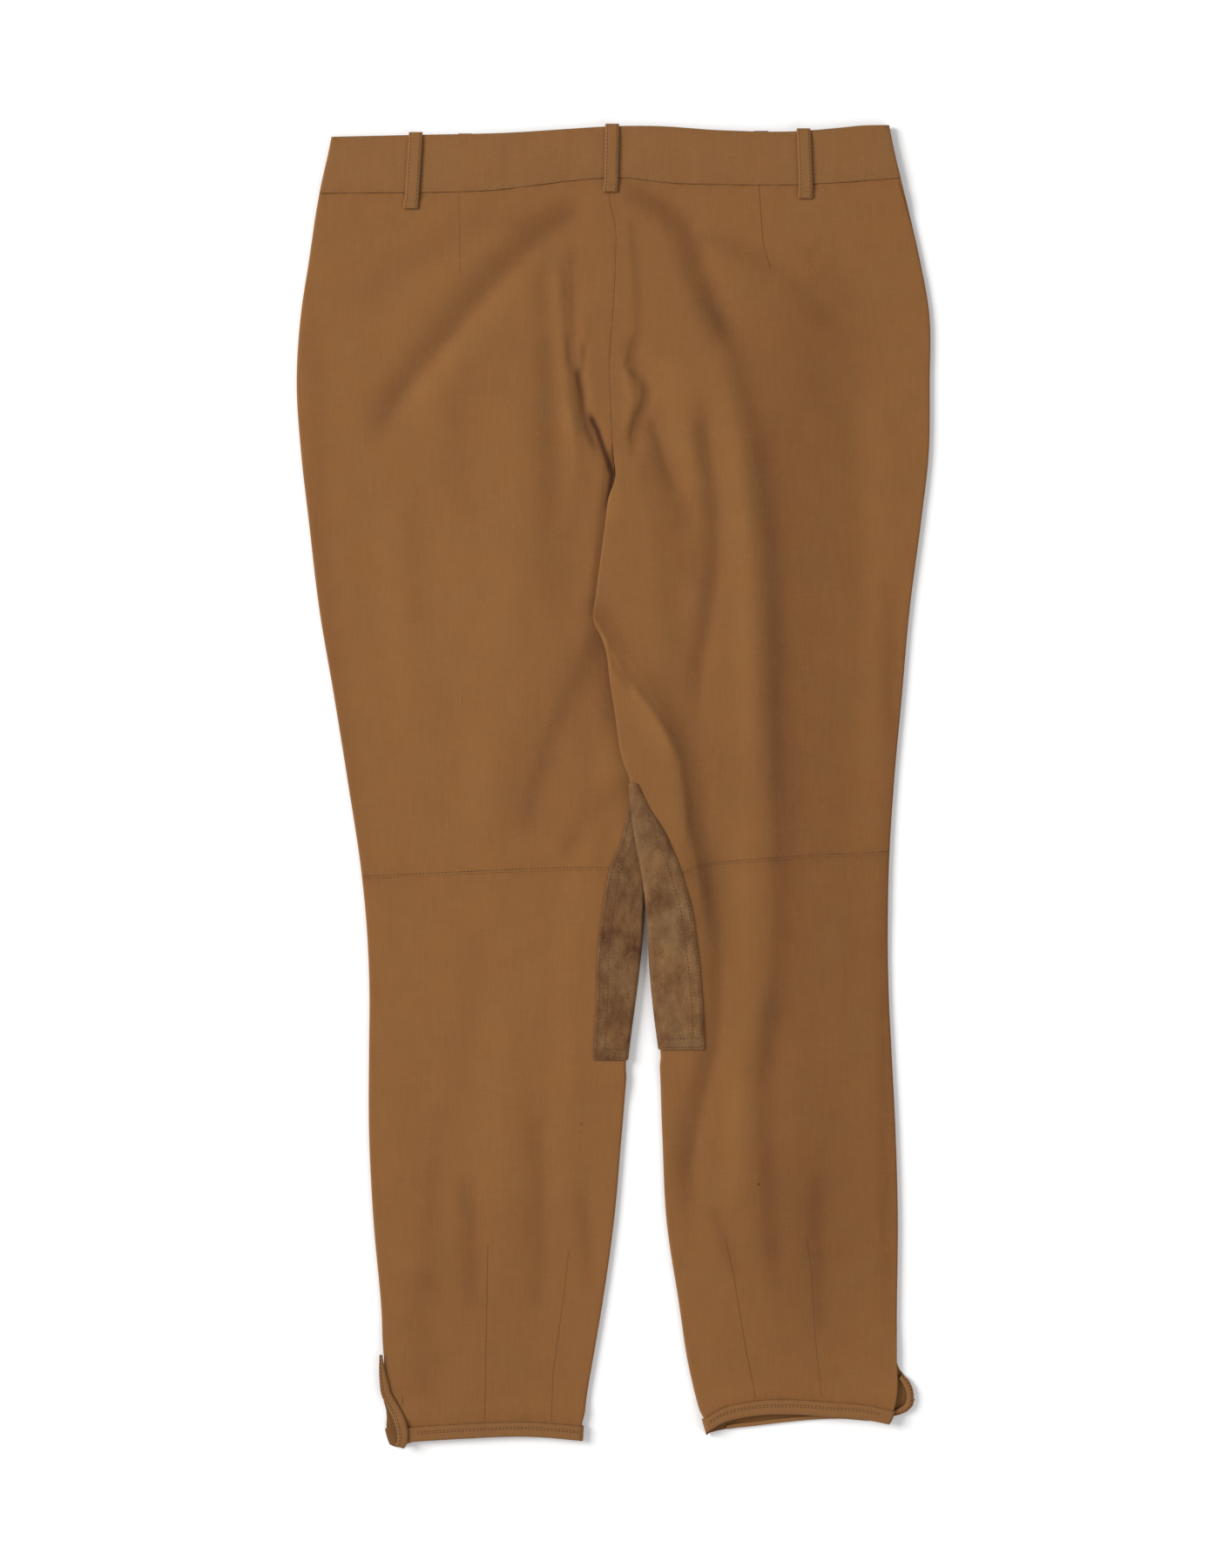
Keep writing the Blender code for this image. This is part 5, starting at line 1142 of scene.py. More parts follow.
def evenly(route, pitch):
    """Equal steps along a route of points: their places and the direction of the route at each."""
    points = np.asarray(route, float)
    steps = np.linalg.norm(np.diff(points, axis=0), axis=1)
    along = np.concatenate([[0.0], np.cumsum(steps)])
    count = max(int(round(along[-1] / pitch)), 1)
    at = (np.arange(count) + 0.5) * along[-1] / count

    def on_route(where):
        return np.stack([np.interp(where, along, points[:, i]) for i in range(3)], axis=1)

    ahead = on_route(at + pitch / 3) - on_route(at - pitch / 3)
    return on_route(at), ahead / np.linalg.norm(ahead, axis=1)[:, None]


def sewing(name, routes, finish):
    """Rows of stitches as one piece. Each route comes with the direction that its cloth faces."""
    sizes = bpy.context.scene.trouser_sizes
    chance = random.Random(name)
    shape = bmesh.new()
    for route, faces in routes:
        places, directions = evenly(route, sizes.stitch_pitch)
        for place, ahead in zip(places, directions):
            ahead = Vector(ahead)
            side = Vector(faces).cross(ahead).normalized()
            up = ahead.cross(side)
            length = sizes.stitch_length * chance.uniform(0.9, 1.06) / 2
            drift = side * chance.uniform(-0.00007, 0.00007)
            at = Vector(place) + drift - Vector((MIDDLE_X, MIDDLE_Y, 0.0))
            turn = Matrix((ahead * length, side * sizes.stitch_width / 2, up * sizes.stitch_width * 0.36)).transposed()
            bmesh.ops.create_uvsphere(
                shape, u_segments=6, v_segments=4, radius=1.0, matrix=Matrix.Translation(at) @ turn.to_4x4()
            )
    mesh = bpy.data.meshes.new(name)
    shape.to_mesh(mesh)
    shape.free()
    mesh.shade_smooth()
    mesh.materials.append(finish)
    piece = bpy.data.objects.new(name, mesh)
    bpy.context.scene.collection.objects.link(piece)
    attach(piece, BODY)
    return piece


def on_skin(leg, x, y, skin, off=0.0):
    """Points on a leg's upper or lower skin, moved out by a distance."""
    x, y = np.broadcast_arrays(np.asarray(x, float), np.asarray(y, float))
    z = leg.top(x, y) + off - SUNK if skin == "upper" else leg.low(x, y) - off + SUNK
    return np.stack([x, y, z], axis=-1)


UP = (0.0, 0.0, 1.0)
DOWN = (0.0, 0.0, -1.0)


# Pieces

def panel_seams(x, y, lines):
    """How near each point is to a cross seam or to the centre seam."""
    near = np.zeros_like(x)
    for line in lines:
        near = np.maximum(near, near_seam(through(line, x) - y))
    centre = near_seam(through(CENTRE_SEAM, y) - x) * rise(y, CROTCH_Y - 0.01, CROTCH_Y)
    return np.maximum(near, centre)


def back_panels(leg, finishes, thread):
    """The back thigh and back calf of one leg, with the topstitching above the knee seam."""
    sizes = bpy.context.scene.trouser_sizes
    waist = lowered(WAIST_SEAM, CLOSE)
    over_knee, under_knee = lowered(leg.knee, -CLOSE / 4), lowered(leg.knee, CLOSE / 4)
    hem = lowered(leg.back_hem, -HEM_TURN)
    hem_top = lowered(leg.back_hem, -HEM_BAND)
    parts = (
        ("back_thigh", THIGH_SPANS, waist, over_knee, (waist, over_knee)),
        ("back_calf", CALF_SPANS, under_knee, hem, (under_knee, hem_top)),
    )
    for part, spans, above, below, seams in parts:
        x, y, z = leg.grid(rows_between(*spans), above, below, leg.back_vent, "upper")
        at_knee = (part == "back_calf", part == "back_thigh")
        z = rolled(z, through(above, x) - y, 1.0, ROLL * (KNEE_ROLL if at_knee[0] else 1.0))
        z = rolled(z, y - through(below, x), 1.0, ROLL * (KNEE_ROLL if at_knee[1] else 1.0))
        for number, line in enumerate(seams):
            fade = np.exp(-(((y - through(line, x)) / 0.009) ** 2)) * (leg.from_inner(x, y) > 0.005)
            height = sizes.ruffle * (KNEE_RUFFLE if at_knee[number] else 1.0)
            z = z + ruffle(x, height, f"{part} {leg.side} {number}") * fade
        node = f"{part}_{leg.side}"
        finish = twill_finish(node, finishes, lines=True)
        # Painted shade and light from the folds and the stretches, kept on the points
        tone, seam = leg.tone(x, y), panel_seams(x, y, seams)
        piece = shell(node, (x, y, z), sizes.cloth_wall, finish, tone=tone, seam=seam)
        if part == "back_thigh":
            across = x[-1, 4:-4]
            row = on_skin(leg, across, through(leg.knee, across) + KNEE_STITCH_IN, "upper")
            sewing(f"knee_topstitch_{leg.side}", [(row, UP)], thread)


def front_panel(leg, finishes, thread):
    """The front of one leg, from waist to hem, outer side down."""
    sizes = bpy.context.scene.trouser_sizes
    waist = lowered(WAIST_SEAM, CLOSE)
    hem = lowered(leg.front_hem, -HEM_TURN)
    thigh = rows_between((0.4600, -0.0620, FRONT_ROW_PITCH))
    calf = rows_between((-0.0620, -0.4900, FRONT_ROW_PITCH))
    upper = leg.grid(thigh, waist, leg.knee, leg.front_vent, "lower")
    lower = leg.grid(calf, leg.knee, hem, leg.front_vent, "lower")
    x, y, z = (np.vstack([a, b[1:]]) for a, b in zip(upper, lower))
    z = rolled(z, through(waist, x) - y, -1.0)
    z = rolled(z, y - through(hem, x), -1.0)
    node = f"front_{leg.side}"
    finish = twill_finish(node, finishes, lines=False)
    seam = panel_seams(x, y, (waist, lowered(leg.front_hem, -HEM_BAND)))
    piece = shell(node, (x, y, z), sizes.cloth_wall, finish, face_down=True, seam=seam)
    if not leg.right:
        fly = np.array(FLY_STITCH)
        at = np.linspace(0, len(fly) - 1, 60)
        route = [through(list(enumerate(fly[:, i])), at) for i in range(2)]
        sewing("fly_stitch", [(on_skin(leg, *route, "lower"), DOWN)], thread)


def knee_patch(leg, finish, thread):
    """A knee's suede patch, from its edge on the front, round the inner edge, to its edge on the back."""
    sizes = bpy.context.scene.trouser_sizes
    y = rows_between((PATCH_TOP_Y, leg.patch_foot, ROW_PITCH))[:, None]
    ends = np.minimum(PATCH_TOP_Y - y, y - leg.patch_foot)
    out = rolled(np.full_like(y, PATCH_STACK), ends, 1.0, sizes.suede_roll, 0.0016)
    cloth_edge = leg.inner_x(y)
    half, middle = leg.edge_stack(cloth_edge, y)
    turn, turn_z = turned_edge(half, out)
    width = through(leg.patch, y) - PATCH_STACK
    shares = np.linspace(1.0, 0.0, 15)[:-1]
    start = turn[:, -1:] + 0.0009
    inner_run = width - ROLL_STEPS[-1]
    reaches = np.hstack([width - np.array(ROLL_STEPS[:-1]), start + (inner_run - start) * shares, start])
    skin_x = cloth_edge - leg.inward * reaches
    skin_y = np.repeat(y, reaches.shape[1], axis=1)
    lift = rolled(np.broadcast_to(out, skin_x.shape), width - reaches, 1.0, sizes.suede_roll, 0.0016)
    turn_x = cloth_edge - leg.inward * turn
    turn_y = np.repeat(y, RIM_POINTS, axis=1)
    front = (skin_x, skin_y, leg.low(skin_x, skin_y) - lift)
    front_turn = (turn_x[:, :0:-1], turn_y[:, 1:], (middle - turn_z)[:, :0:-1])
    edge = (turn_x[:, :1], y, middle)
    back_turn = (turn_x[:, 1:], turn_y[:, 1:], (middle + turn_z)[:, 1:])
    back = (skin_x[:, ::-1], skin_y, (leg.top(skin_x, skin_y) + lift)[:, ::-1])
    x, yy, z = (np.hstack(parts) for parts in zip(front, front_turn, edge, back_turn, back))
    node = f"knee_patch_{leg.side}"
    count = x.shape[1]
    from_edge = np.minimum(np.arange(count), np.arange(count)[::-1])[None, :]
    seam = np.maximum(near_seam(ends), np.exp(-from_edge / 2.5) * np.ones_like(x))
    # Painted shade from the leg's folds on the back half, and painted shade over the whole left patch
    tone = SUEDE_PAINTED_SHADE_SHARE * leg.tone(x, yy) * (np.arange(count)[None,
            :] > count // 2) + (0.0 if leg.right else LEFT_SUEDE_PAINTED_SHADE)
    piece = shell(
        node, (x, yy, z), sizes.suede_wall, [finish, finish], face_down=not leg.right, tone=tone, seam=seam
    )
    routes = []
    for skin, faces in (("upper", UP), ("lower", DOWN)):
        for number, inward in enumerate(PATCH_STITCHES_IN):
            foot_y = leg.patch_foot + inward
            top_y = PATCH_TOP_Y - (0.002, 0.040)[number]
            run = np.linspace(top_y, foot_y, 90)
            side_x = through(leg.inner, run) - leg.inward * (through(leg.patch, run) - inward)
            foot_x = np.linspace(side_x[-1], through(leg.inner, foot_y) - leg.inward * 0.0028, 30)
            routes.append((on_skin(leg, side_x, run, skin, PATCH_STACK), faces))
            routes.append((on_skin(leg, foot_x, foot_y, skin, PATCH_STACK), faces))
    sewn = sewing(f"patch_stitches_{leg.side}", routes, thread)


def band_points(x_from, x_to, skin, cells):
    """One stretch of the waistband, rows from its top edge to the waist seam.

    An end with no x is turned at the leg's outer edge.
    """
    share = np.concatenate([[0.0, 0.012, 0.028, 0.050], np.linspace(0.10, 0.94, 12), [0.965, 0.985, 1.0]])[:, None]
    half = np.full_like(share, BAND_HEIGHT / 2)
    turn, turn_z = turned_edge(half, 0.0)
    above, below = through(WAIST_TOP, 0.0), through(WAIST_SEAM, 0.0)
    y = np.repeat(above + (below - above) * share, 2, axis=1)
    x = None
    for _ in range(SETTLING):
        first = np.full_like(half, x_from) if x_from is not None else LEFT.outer_x(y[:, :1], ()) + turn
        final = np.full_like(half, x_to) if x_to is not None else RIGHT.outer_x(y[:, -1:], ()) - turn[:, ::-1]
        places = np.linspace(0, 1, cells + 1)[1:-1]
        middle = first[:, -1:] + (final[:, :1] - first[:, -1:]) * places
        x = np.hstack([first, middle, final])
        above, below = through(WAIST_TOP, x), through(WAIST_SEAM, x) + CLOSE
        y = above + (below - above) * share
    sign = 1.0 if skin == "upper" else -1.0
    heights = np.full_like(x, BAND_HEIGHT / 2)
    if x_from is None:
        heights[:, :RIM_POINTS] = turn_z
    if x_to is None:
        heights[:, -RIM_POINTS:] = turn_z[:, ::-1]
    wave = ruffle(x, 0.00016, f"band {skin}") * (heights > 0.9 * BAND_HEIGHT / 2)
    heights = heights + np.minimum(wave, 0.0002) * np.sin(math.pi * share)
    z = BAND_LIFT + BAND_HEIGHT / 2 + sign * heights
    level = (heights > 0.5 * BAND_HEIGHT / 2) * sign
    z = rolled(z, above - y, level, 0.0009, 0.0019)
    return x, y, rolled(z, y - below, level)


def waistband(finishes):
    sizes = bpy.context.scene.trouser_sizes
    stretches = (
        ("waistband_back", None, None, "upper", 150, ("back_thigh_left_cloth", "back_thigh_right_cloth")),
        ("waistband_front_left", None, -SEAM / 2, "lower", 70, ("front_left_cloth",)),
        ("waistband_front_right", SEAM / 2, None, "lower", 70, ("front_right_cloth",)),
    )
    for node, x_from, x_to, skin, cells, rests_on in stretches:
        points = band_points(x_from, x_to, skin, cells)
        x, y, _ = points
        seam = np.maximum(near_seam(through(WAIST_SEAM, x) - y), near_seam(through(WAIST_TOP, x) - y, 0.0025))
        finish = twill_finish(node, finishes, lines=True)
        piece = shell(node, points, sizes.band_wall, finish, face_down=skin == "lower", seam=seam)


def belt_loop(row, finishes, thread):
    """A strip that stands a little off the band, sewn at its top and at its folded foot."""
    name, top_x, top_y, foot_x, foot_y, on_back = row
    sizes = bpy.context.scene.trouser_sizes
    share = np.concatenate([[0.0, 0.008, 0.02], np.linspace(0.05, 0.88, 22), [0.9, 0.908, 0.916, 0.93, 0.96, 0.985, 1]])
    share = share[:, None]
    across = np.array([-0.5, -0.47, -0.42, -0.33, -0.2, 0.0, 0.2, 0.33, 0.42, 0.47, 0.5])
    wide = LOOP_WIDTH * (1.0 + 0.07 * rise(share, 0.88, 0.93))
    y = np.repeat(top_y + (foot_y - top_y) * share, len(across), axis=1)
    x = top_x + (foot_x - top_x) * share + across * wide - 0.0006 * rise(share, 0.86, 0.92)
    arch = LOOP_STAND * rise(share, 0.0, 0.2) * rise(share, 1.0, 0.75) + 0.0003 * (1.0 - (2 * across) ** 4)
    edge = 0.00045 * np.clip((np.abs(across) - 0.40) / 0.10, 0.0, 1.0) ** 2
    ends = 0.0005 * (np.clip(1 - share / 0.03, 0, 1) ** 2 + np.clip((share - 0.965) / 0.035, 0, 1) ** 2)
    crease = 0.0004 * np.exp(-(((share - 0.908) / 0.008) ** 2))
    skin = arch - edge - ends - crease
    leg = RIGHT if top_x > 0 else LEFT
    if on_back:
        under = np.maximum(BAND_LIFT + BAND_HEIGHT, leg.top(x, y))
        z = under + SEAM + CLOTH + skin
    else:
        z = BAND_LIFT - 2 * SEAM - CLOTH - FRONT_LOOP_PRESS * skin
    seam = np.exp(-(((share - 0.908) / 0.012) ** 2)) * np.ones_like(x)
    finish = twill_finish("belt_loop", finishes, lines=False)
    piece = shell(name, (x, y, z), sizes.cloth_wall, finish, face_down=not on_back, seam=seam)
    edges = []
    off = SUNK if on_back else -SUNK
    for column in (np.abs(across + 0.36).argmin(), np.abs(across - 0.36).argmin()):
        route = np.stack([x[:, column], y[:, column], z[:, column] - off], axis=-1)
        edges.append((route[1:-1], UP if on_back else DOWN))
    sewn = sewing(f"{name}_stitches", edges, thread)


def hem_band(leg, on_back, finishes, thread):
    """The binding of a hem on the panel's outer side, turned at the inner edge, and its turn round the cut edge."""
    sizes = bpy.context.scene.trouser_sizes
    line = leg.back_hem if on_back else leg.front_hem
    vent = leg.back_vent if on_back else leg.front_vent
    sign = 1.0 if on_back else -1.0
    skin = "upper" if on_back else "lower"
    down = np.concatenate([ROLL_STEPS, np.linspace(0.003, HEM_BAND - 0.0022, 4), HEM_BAND - np.array(ROLL_STEPS[::-1])])
    y = np.repeat(through(line, 0.0) + HEM_BAND - down[:, None], 2, axis=1)
    x, turn_z, middle = None, None, None
    for _ in range(SETTLING):
        inner_y, outer_y = (y[:, :1], y[:, -1:]) if leg.right else (y[:, -1:], y[:, :1])
        cloth_edge = leg.inner_x(inner_y)
        half, middle = leg.edge_stack(cloth_edge, inner_y)
        turn, turn_z = turned_edge(half, HEM_STACK)
        turn_x = cloth_edge - leg.inward * turn
        stop = leg.outer_x(outer_y, vent) - leg.inward * HEM_OVERHANG
        run = turn_x[:, -1:] + (stop - turn_x[:, -1:]) * np.linspace(0, 1, 61)[1:]
        x = np.hstack([turn_x, run])
        x = x if leg.right else x[:, ::-1]
        y = through(line, x) + HEM_BAND - down[:, None]
    z = leg.top(x, y) + HEM_STACK if on_back else leg.low(x, y) - HEM_STACK
    turned = middle + sign * turn_z
    level = np.full_like(x, sign)
    if leg.right:
        z[:, :RIM_POINTS] = turned
        level[:, : RIM_POINTS - 2] = 0.0
    else:
        z[:, -RIM_POINTS:] = turned[:, ::-1]
        level[:, 2 - RIM_POINTS :] = 0.0
    z = rolled(z, down[:, None], level, 0.0005, 0.0015)
    z = rolled(z, HEM_BAND - down[:, None], level, 0.0009, 0.0018)
    side = "back" if on_back else "front"
    node = f"hem_band_{side}_{leg.side}"
    seam = np.maximum(near_seam(down, 0.0022), near_seam(HEM_BAND - down, 0.0015))[:, None] * np.ones_like(x)
    finish = twill_finish("hem_band", finishes, lines=False)
    piece = shell(node, (x, y, z), sizes.binding_wall, finish, face_down=not on_back, seam=seam)
    routes = []
    across = x[-1, 6:-3] if leg.right else x[-1, 3:-6]
    for inward in HEM_STITCHES_IN:
        routes.append((on_skin(leg, across, through(line, across) + HEM_BAND - inward, skin, HEM_STACK),
                       UP if on_back else DOWN))
    sewn = sewing(f"hem_stitches_{side}_{leg.side}", routes, thread)
    lining = hem_turn(leg, on_back, x[-1], line, finish)


def hem_turn(leg, on_back, across, line, finish):
    """The binding's turn round the panel's cut edge, on to its inner side."""
    reach = across[12:-2] if leg.right else across[2:-12]
    sign = 1.0 if on_back else -1.0
    fold = np.array([
        (0.0001, 0.0003), (0.0, -0.0003), (0.0001, -0.0009), (0.0004, -0.0014), (0.0009, -0.0017),
        (0.0018, -0.0018), (0.0028, -0.0018), (0.0034, -0.0016),
    ])
    x = np.repeat(reach[None, :], len(fold), axis=0)
    y = through(line, x) + fold[:, :1]
    skin = leg.top(x, y) if on_back else leg.low(x, y)
    z = skin + sign * fold[:, 1:]
    side = "back" if on_back else "front"
    name = f"hem_turn_{side}_{leg.side}"
    mesh = bent_grid(name, x, y, z, not on_back, {"tone": 0.1, "seam": 0.0})
    piece = bpy.data.objects.new(name, mesh)
    bpy.context.scene.collection.objects.link(piece)
    for one in finish:
        mesh.materials.append(one)
    thick = piece.modifiers.new("Wall", "SOLIDIFY")
    thick.thickness = 0.0005
    thick.offset = -1.0
    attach(piece, BODY)
    return piece


def vent_binding(leg, strip, finishes, thread):
    """The bound edge of a vent as a strip along its route, crowned across its width.

    The left one lies on the back panel and its hem, the right one on the inner side of the front.
    """
    sizes = bpy.context.scene.trouser_sizes
    rows = np.array(strip)
    at = np.linspace(0, len(rows) - 1, 40)
    middle = np.stack([through(list(enumerate(rows[:, i])), at) for i in range(2)], axis=1)
    half = through(list(enumerate(rows[:, 2])), at)[:, None]
    ahead = np.gradient(middle, axis=0)
    ahead /= np.linalg.norm(ahead, axis=1)[:, None]
    across = np.array([-1.0, -0.93, -0.8, -0.6, -0.3, 0.0, 0.3, 0.6, 0.8, 0.93, 1.0])
    x = middle[:, :1] - ahead[:, 1:2] * half * across
    y = middle[:, 1:2] + ahead[:, :1] * half * across
    if leg.right:
        under = leg.low(x, y) + CLOTH
    else:
        hem_top = through(leg.back_hem, x) + HEM_BAND
        under = leg.top(x, y) + HEM_STACK * rise(y, hem_top + WRAP_FADE, hem_top + WRAP_HOLD)
    edge = 0.0005 * np.clip((np.abs(across) - 0.75) / 0.25, 0.0, 1.0) ** 2
    z = under + VENT_GAP + BINDING + VENT_CROWN * (1.0 - across**2) - edge
    node = f"vent_binding_{leg.side}"
    seam = np.exp(-((1.0 - np.abs(across)) / 0.2)) * np.ones_like(x)
    finish = twill_finish("vent_binding", finishes, lines=False)
    shell(node, (x, y, z), sizes.binding_wall, finish, seam=seam)
    routes = []
    for share in VENT_STITCHES_IN:
        column = np.abs(across - (share if leg.right else -share)).argmin()
        routes.append((np.stack([x[:, column], y[:, column], z[:, column] - SUNK], axis=-1), UP))
    sewing(f"vent_stitches_{leg.side}", routes, thread)


def waist_button(finish, thread):
    """A dished button with four holes under the centre front of the band, and its thread."""
    low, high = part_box("waist_button")
    radius = (high[0] - low[0]) / 2
    centre = Vector(((low[0] + high[0]) / 2, (low[1] + high[1]) / 2, 0.0))
    profile = (
        (0.0002, 0.0006), (0.62, 0.0006), (0.74, 0.0001), (0.86, 0.0), (0.96, 0.0003), (1.0, 0.0009),
        (0.96, 0.0015), (0.86, 0.0018), (0.0002, 0.0018),
    )
    shape = bmesh.new()
    points = [shape.verts.new((share * radius, 0.0, height)) for share, height in profile]
    edges = [shape.edges.new(pair) for pair in zip(points, points[1:])]
    bmesh.ops.spin(
        shape, geom=points + edges, cent=(0, 0, 0), axis=(0, 0, 1), angle=2 * math.pi, steps=48, use_merge=True
    )
    bmesh.ops.remove_doubles(shape, verts=shape.verts, dist=0.00001)
    bmesh.ops.recalc_face_normals(shape, faces=shape.faces)
    bmesh.ops.translate(shape, vec=centre, verts=shape.verts)
    disc = solid_object("waist_button_disc", shape)
    holes = bmesh.new()
    for hole in range(4):
        angle = 2 * math.pi * (hole + 0.5) / 4
        place = centre + BUTTON_HOLE_OFFSET * Vector((math.cos(angle), math.sin(angle), 0.0))
        bmesh.ops.create_cone(
            holes, cap_ends=True, segments=14, radius1=0.0009, radius2=0.0009, depth=0.008,
            matrix=Matrix.Translation(place),
        )
    cutter = solid_object("button_hole_cutter", holes)
    cut = disc.modifiers.new("Holes", "BOOLEAN")
    cut.object = cutter
    cut.operation = "DIFFERENCE"
    cut.solver = "EXACT"
    bpy.context.view_layer.update()
    made = bpy.data.meshes.new_from_object(disc.evaluated_get(bpy.context.evaluated_depsgraph_get()))
    bpy.data.objects.remove(cutter)
    disc.modifiers.clear()
    disc.data = made
    made.materials.clear()
    made.materials.append(finish)
    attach(disc, BODY)
    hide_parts("waist_button")
    routes = []
    for side in (-1.0, 1.0):
        ends = [centre + Vector((side * 0.0011, along, 0.0005)) for along in (-0.0013, 0.0013)]
        ends = [end + Vector((MIDDLE_X, MIDDLE_Y, 0.0)) for end in ends]
        routes.append((np.array([tuple(ends[0]), tuple(ends[1])]), DOWN))
    sewing("button_thread", routes, thread)


def solid_object(name, shape):
    mesh = bpy.data.meshes.new(name)
    shape.to_mesh(mesh)
    shape.free()
    made = bpy.data.objects.new(name, mesh)
    bpy.context.scene.collection.objects.link(made)
    return made


# The stage

def area_light(name, place, size, power, colour):
    light = bpy.data.lights.new(name, "AREA")
    light.shape = "SQUARE"
    light.size = size
    light.energy = power
    light.color = colour
    lamp = bpy.data.objects.new(name, light)
    lamp.location = place
    lamp.rotation_euler = (Vector((0.0, 0.0, 0.0)) - Vector(place)).to_track_quat("-Z", "Y").to_euler()
    bpy.context.scene.collection.objects.link(lamp)


def stage_floor():
    shape = bmesh.new()
    bmesh.ops.create_grid(shape, x_segments=8, y_segments=8, size=6.0)
    bmesh.ops.translate(shape, vec=(0.0, 0.0, -0.0002), verts=shape.verts)
    floor = solid_object("floor", shape)
    floor.data.materials.append(pale_floor())


def look_down():
    """The camera over the middle of the picture, looking straight down."""
    camera = bpy.data.cameras.new("camera")
    camera.sensor_width = 36.0
    camera.lens = 36.0 * CAMERA_HEIGHT / PICTURE_HEIGHT
    camera.clip_end = 20.0
    holder = bpy.data.objects.new("camera", camera)
    holder.location = (*PICTURE_MIDDLE, CAMERA_HEIGHT)
    bpy.context.scene.collection.objects.link(holder)
    bpy.context.scene.camera = holder


# What a user may change, and the operators that make the pieces

def length(name, description, default, most=0.01):
    return FloatProperty(
        name=name, description=description, default=default, min=0.0, max=most, precision=5, subtype="DISTANCE",
        unit="LENGTH",
    )


def colour(name, description, default):
    return FloatVectorProperty(
        name=name, description=description, default=default, size=3, min=0.0, max=1.0, subtype="COLOR"
    )


class TrouserSizes(PropertyGroup):
    cloth_wall: length("Cloth", "Thickness of the twill", 0.0008)
    band_wall: length("Waistband", "Thickness of the doubled waistband", 0.0015)
    binding_wall: length("Bindings", "Thickness of the hem and vent bindings", 0.0011)
    suede_wall: length("Suede", "Thickness of the knee patches", 0.0013)
    suede_roll: length("Suede edge", "How far the cut edge of the suede rolls down", 0.0005)
    ruffle: length("Ruffle", "Height of the small waves along the seams", 0.00022)
    twill_pitch: length("Twill pitch", "Distance between two ribs of the twill", 0.00062)
    stitch_pitch: length("Stitch pitch", "Distance from one stitch to the next", 0.0028)
    stitch_length: length("Stitch length", "Visible length of a stitch", 0.0023)
    stitch_width: length("Stitch width", "Thickness of the sewing thread", 0.00066)


class TrouserColours(PropertyGroup):
    twill: colour("Twill", "Tan cotton twill of the panels", (0.219, 0.0938, 0.0268))
    bands: colour("Bands", "Twill of the waistband, loops and bindings", (0.215, 0.0960, 0.0298))
    suede: colour("Suede", "Suede of the knee patches", (0.174, 0.0880, 0.0352))
    thread: colour("Thread", "Sewing thread", (0.075, 0.0310, 0.0105))
    horn: colour("Horn", "Waist button", (0.060, 0.028, 0.012))
    floor: colour("Floor", "Pale floor under the trousers", (0.94, 0.94, 0.94))
    light: FloatProperty(name="Light", description="Power of the main soft light", default=240.0, min=0.0, unit="POWER")
    fill: FloatProperty(name="Fill", description="Power of the fill light", default=34.0, min=0.0, unit="POWER")
    sky: FloatProperty(name="Sky", description="Strength of the even light from all round", default=0.38, min=0.0)


class TROUSERS_OT_back_panels(Operator):
    """Back thighs and calves with their folds, darts and knee topstitching"""
    bl_idname = "trousers.back_panels"
    bl_label = "Back panels"

    def execute(self, context):
        for leg in LEGS:
            back_panels(leg, CLOTH_FINISH, thread_finish())
        return {"FINISHED"}


class TROUSERS_OT_front_panels(Operator):
    """Front panels, outer side down, with the fly's row of stitches"""
    bl_idname = "trousers.front_panels"
    bl_label = "Front panels"

    def execute(self, context):
        for leg in LEGS:
            front_panel(leg, CLOTH_FINISH, thread_finish())
        return {"FINISHED"}


class TROUSERS_OT_knee_patches(Operator):
    """Suede knee patches with double rows of stitches"""
    bl_idname = "trousers.knee_patches"
    bl_label = "Knee patches"

    def execute(self, context):
        for leg in LEGS:
            knee_patch(leg, finish_once("brushed suede", brushed_suede), thread_finish())
        return {"FINISHED"}


class TROUSERS_OT_waistband(Operator):
    """Waistband in its three stretches"""
    bl_idname = "trousers.waistband"
    bl_label = "Waistband"

    def execute(self, context):
        waistband(BAND_FINISH)
        return {"FINISHED"}


class TROUSERS_OT_belt_loops(Operator):
    """Five belt loops with stitched edges and folded feet"""
    bl_idname = "trousers.belt_loops"
    bl_label = "Belt loops"

    def execute(self, context):
        for row in BELT_LOOPS:
            belt_loop(row, BAND_FINISH, thread_finish())
        return {"FINISHED"}


class TROUSERS_OT_hem_bands(Operator):
    """Hem bindings, back and front, with their stitches and turned edges"""
    bl_idname = "trousers.hem_bands"
    bl_label = "Hem bands"

    def execute(self, context):
        for leg in LEGS:
            for on_back in (True, False):
                hem_band(leg, on_back, BAND_FINISH, thread_finish())
        return {"FINISHED"}


class TROUSERS_OT_vent_bindings(Operator):
    """Bound edges of the two vents at the outer hem corners"""
    bl_idname = "trousers.vent_bindings"
    bl_label = "Vent bindings"

    def execute(self, context):
        vent_binding(LEFT, LEFT_VENT_STRIP, BAND_FINISH, thread_finish())
        vent_binding(RIGHT, RIGHT_VENT_STRIP, BAND_FINISH, thread_finish())
        return {"FINISHED"}


class TROUSERS_OT_waist_button(Operator):
    """Dished four-hole button and its thread"""
    bl_idname = "trousers.waist_button"
    bl_label = "Waist button"

    def execute(self, context):
        waist_button(finish_once("streaked horn", streaked_horn), thread_finish())
        return {"FINISHED"}


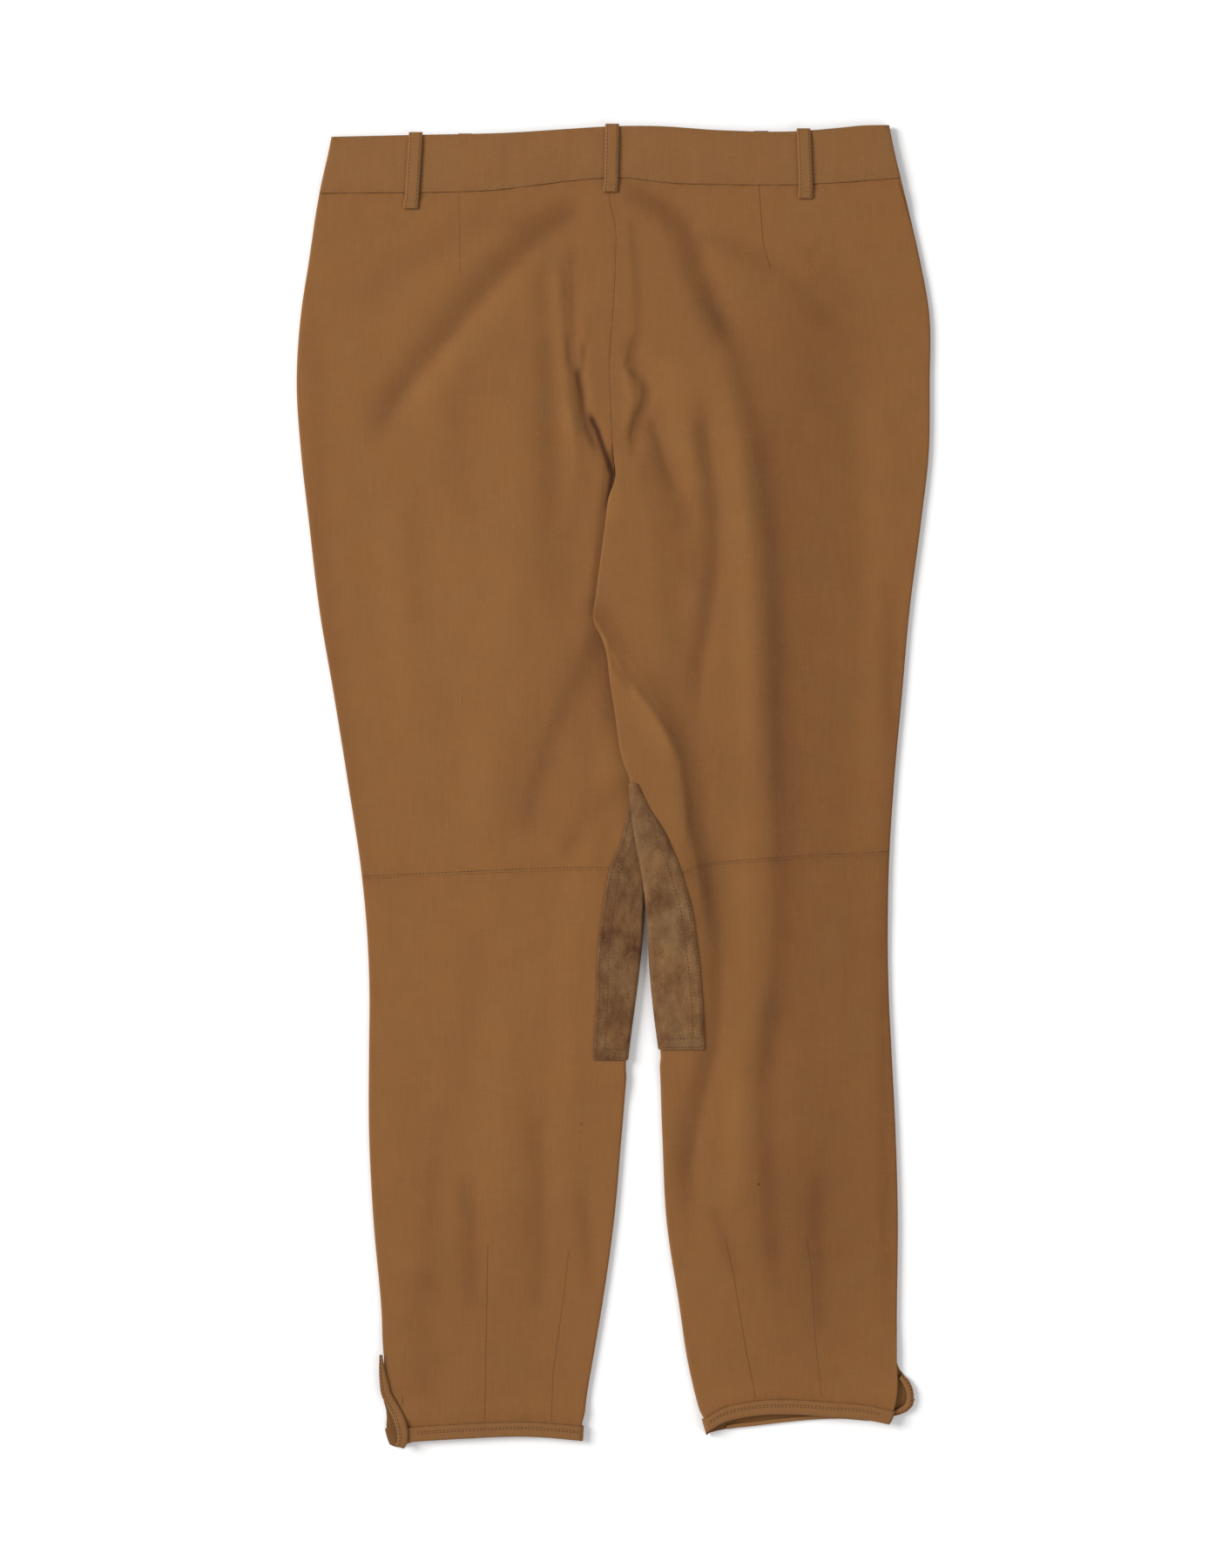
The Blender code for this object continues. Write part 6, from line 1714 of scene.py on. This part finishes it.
class TROUSERS_OT_stage(Operator):
    """Pale floor, soft lights and the camera"""
    bl_idname = "trousers.stage"
    bl_label = "Stage"

    def execute(self, context):
        colours = context.scene.trouser_colours
        stage_floor()
        area_light("main light", (-3.6, 1.3, 2.9), 2.2, colours.light, (1.0, 0.995, 0.985))
        area_light("fill light", (1.9, -1.4, 2.2), 2.4, colours.fill, (0.985, 0.99, 1.0))
        world = bpy.data.worlds.new("even light")
        world.use_nodes = True
        world.node_tree.nodes["Background"].inputs["Color"].default_value = (1.0, 1.0, 1.0, 1.0)
        world.node_tree.nodes["Background"].inputs["Strength"].default_value = colours.sky
        context.scene.world = world
        context.scene.view_settings.view_transform = "Standard"
        look_down()
        return {"FINISHED"}


PIECES_IN_ORDER = (
    TROUSERS_OT_stage,
    TROUSERS_OT_front_panels,
    TROUSERS_OT_back_panels,
    TROUSERS_OT_knee_patches,
    TROUSERS_OT_waistband,
    TROUSERS_OT_belt_loops,
    TROUSERS_OT_hem_bands,
    TROUSERS_OT_vent_bindings,
    TROUSERS_OT_waist_button,
)


class TROUSERS_PT_sidebar(Panel):
    """Sizes, colours and pieces of the trousers"""
    bl_idname = "TROUSERS_PT_sidebar"
    bl_label = "Trousers"
    bl_space_type = "VIEW_3D"
    bl_region_type = "UI"
    bl_category = "Trousers"

    def draw(self, context):
        layout = self.layout
        for group in (context.scene.trouser_sizes, context.scene.trouser_colours):
            box = layout.box()
            for name in group.__annotations__:
                box.prop(group, name)
        for operator in PIECES_IN_ORDER:
            layout.operator(operator.bl_idname)


CLASSES = (TrouserSizes, TrouserColours, *PIECES_IN_ORDER, TROUSERS_PT_sidebar)


def register():
    for made in CLASSES:
        bpy.utils.register_class(made)
    bpy.types.Scene.trouser_sizes = PointerProperty(type=TrouserSizes)
    bpy.types.Scene.trouser_colours = PointerProperty(type=TrouserColours)


def unregister():
    del bpy.types.Scene.trouser_colours
    del bpy.types.Scene.trouser_sizes
    for made in reversed(CLASSES):
        bpy.utils.unregister_class(made)


def main():
    register()
    for made in PIECES_IN_ORDER:
        group, operator = made.bl_idname.split(".")
        getattr(getattr(bpy.ops, group), operator)()


if __name__ == "__main__":
    main()
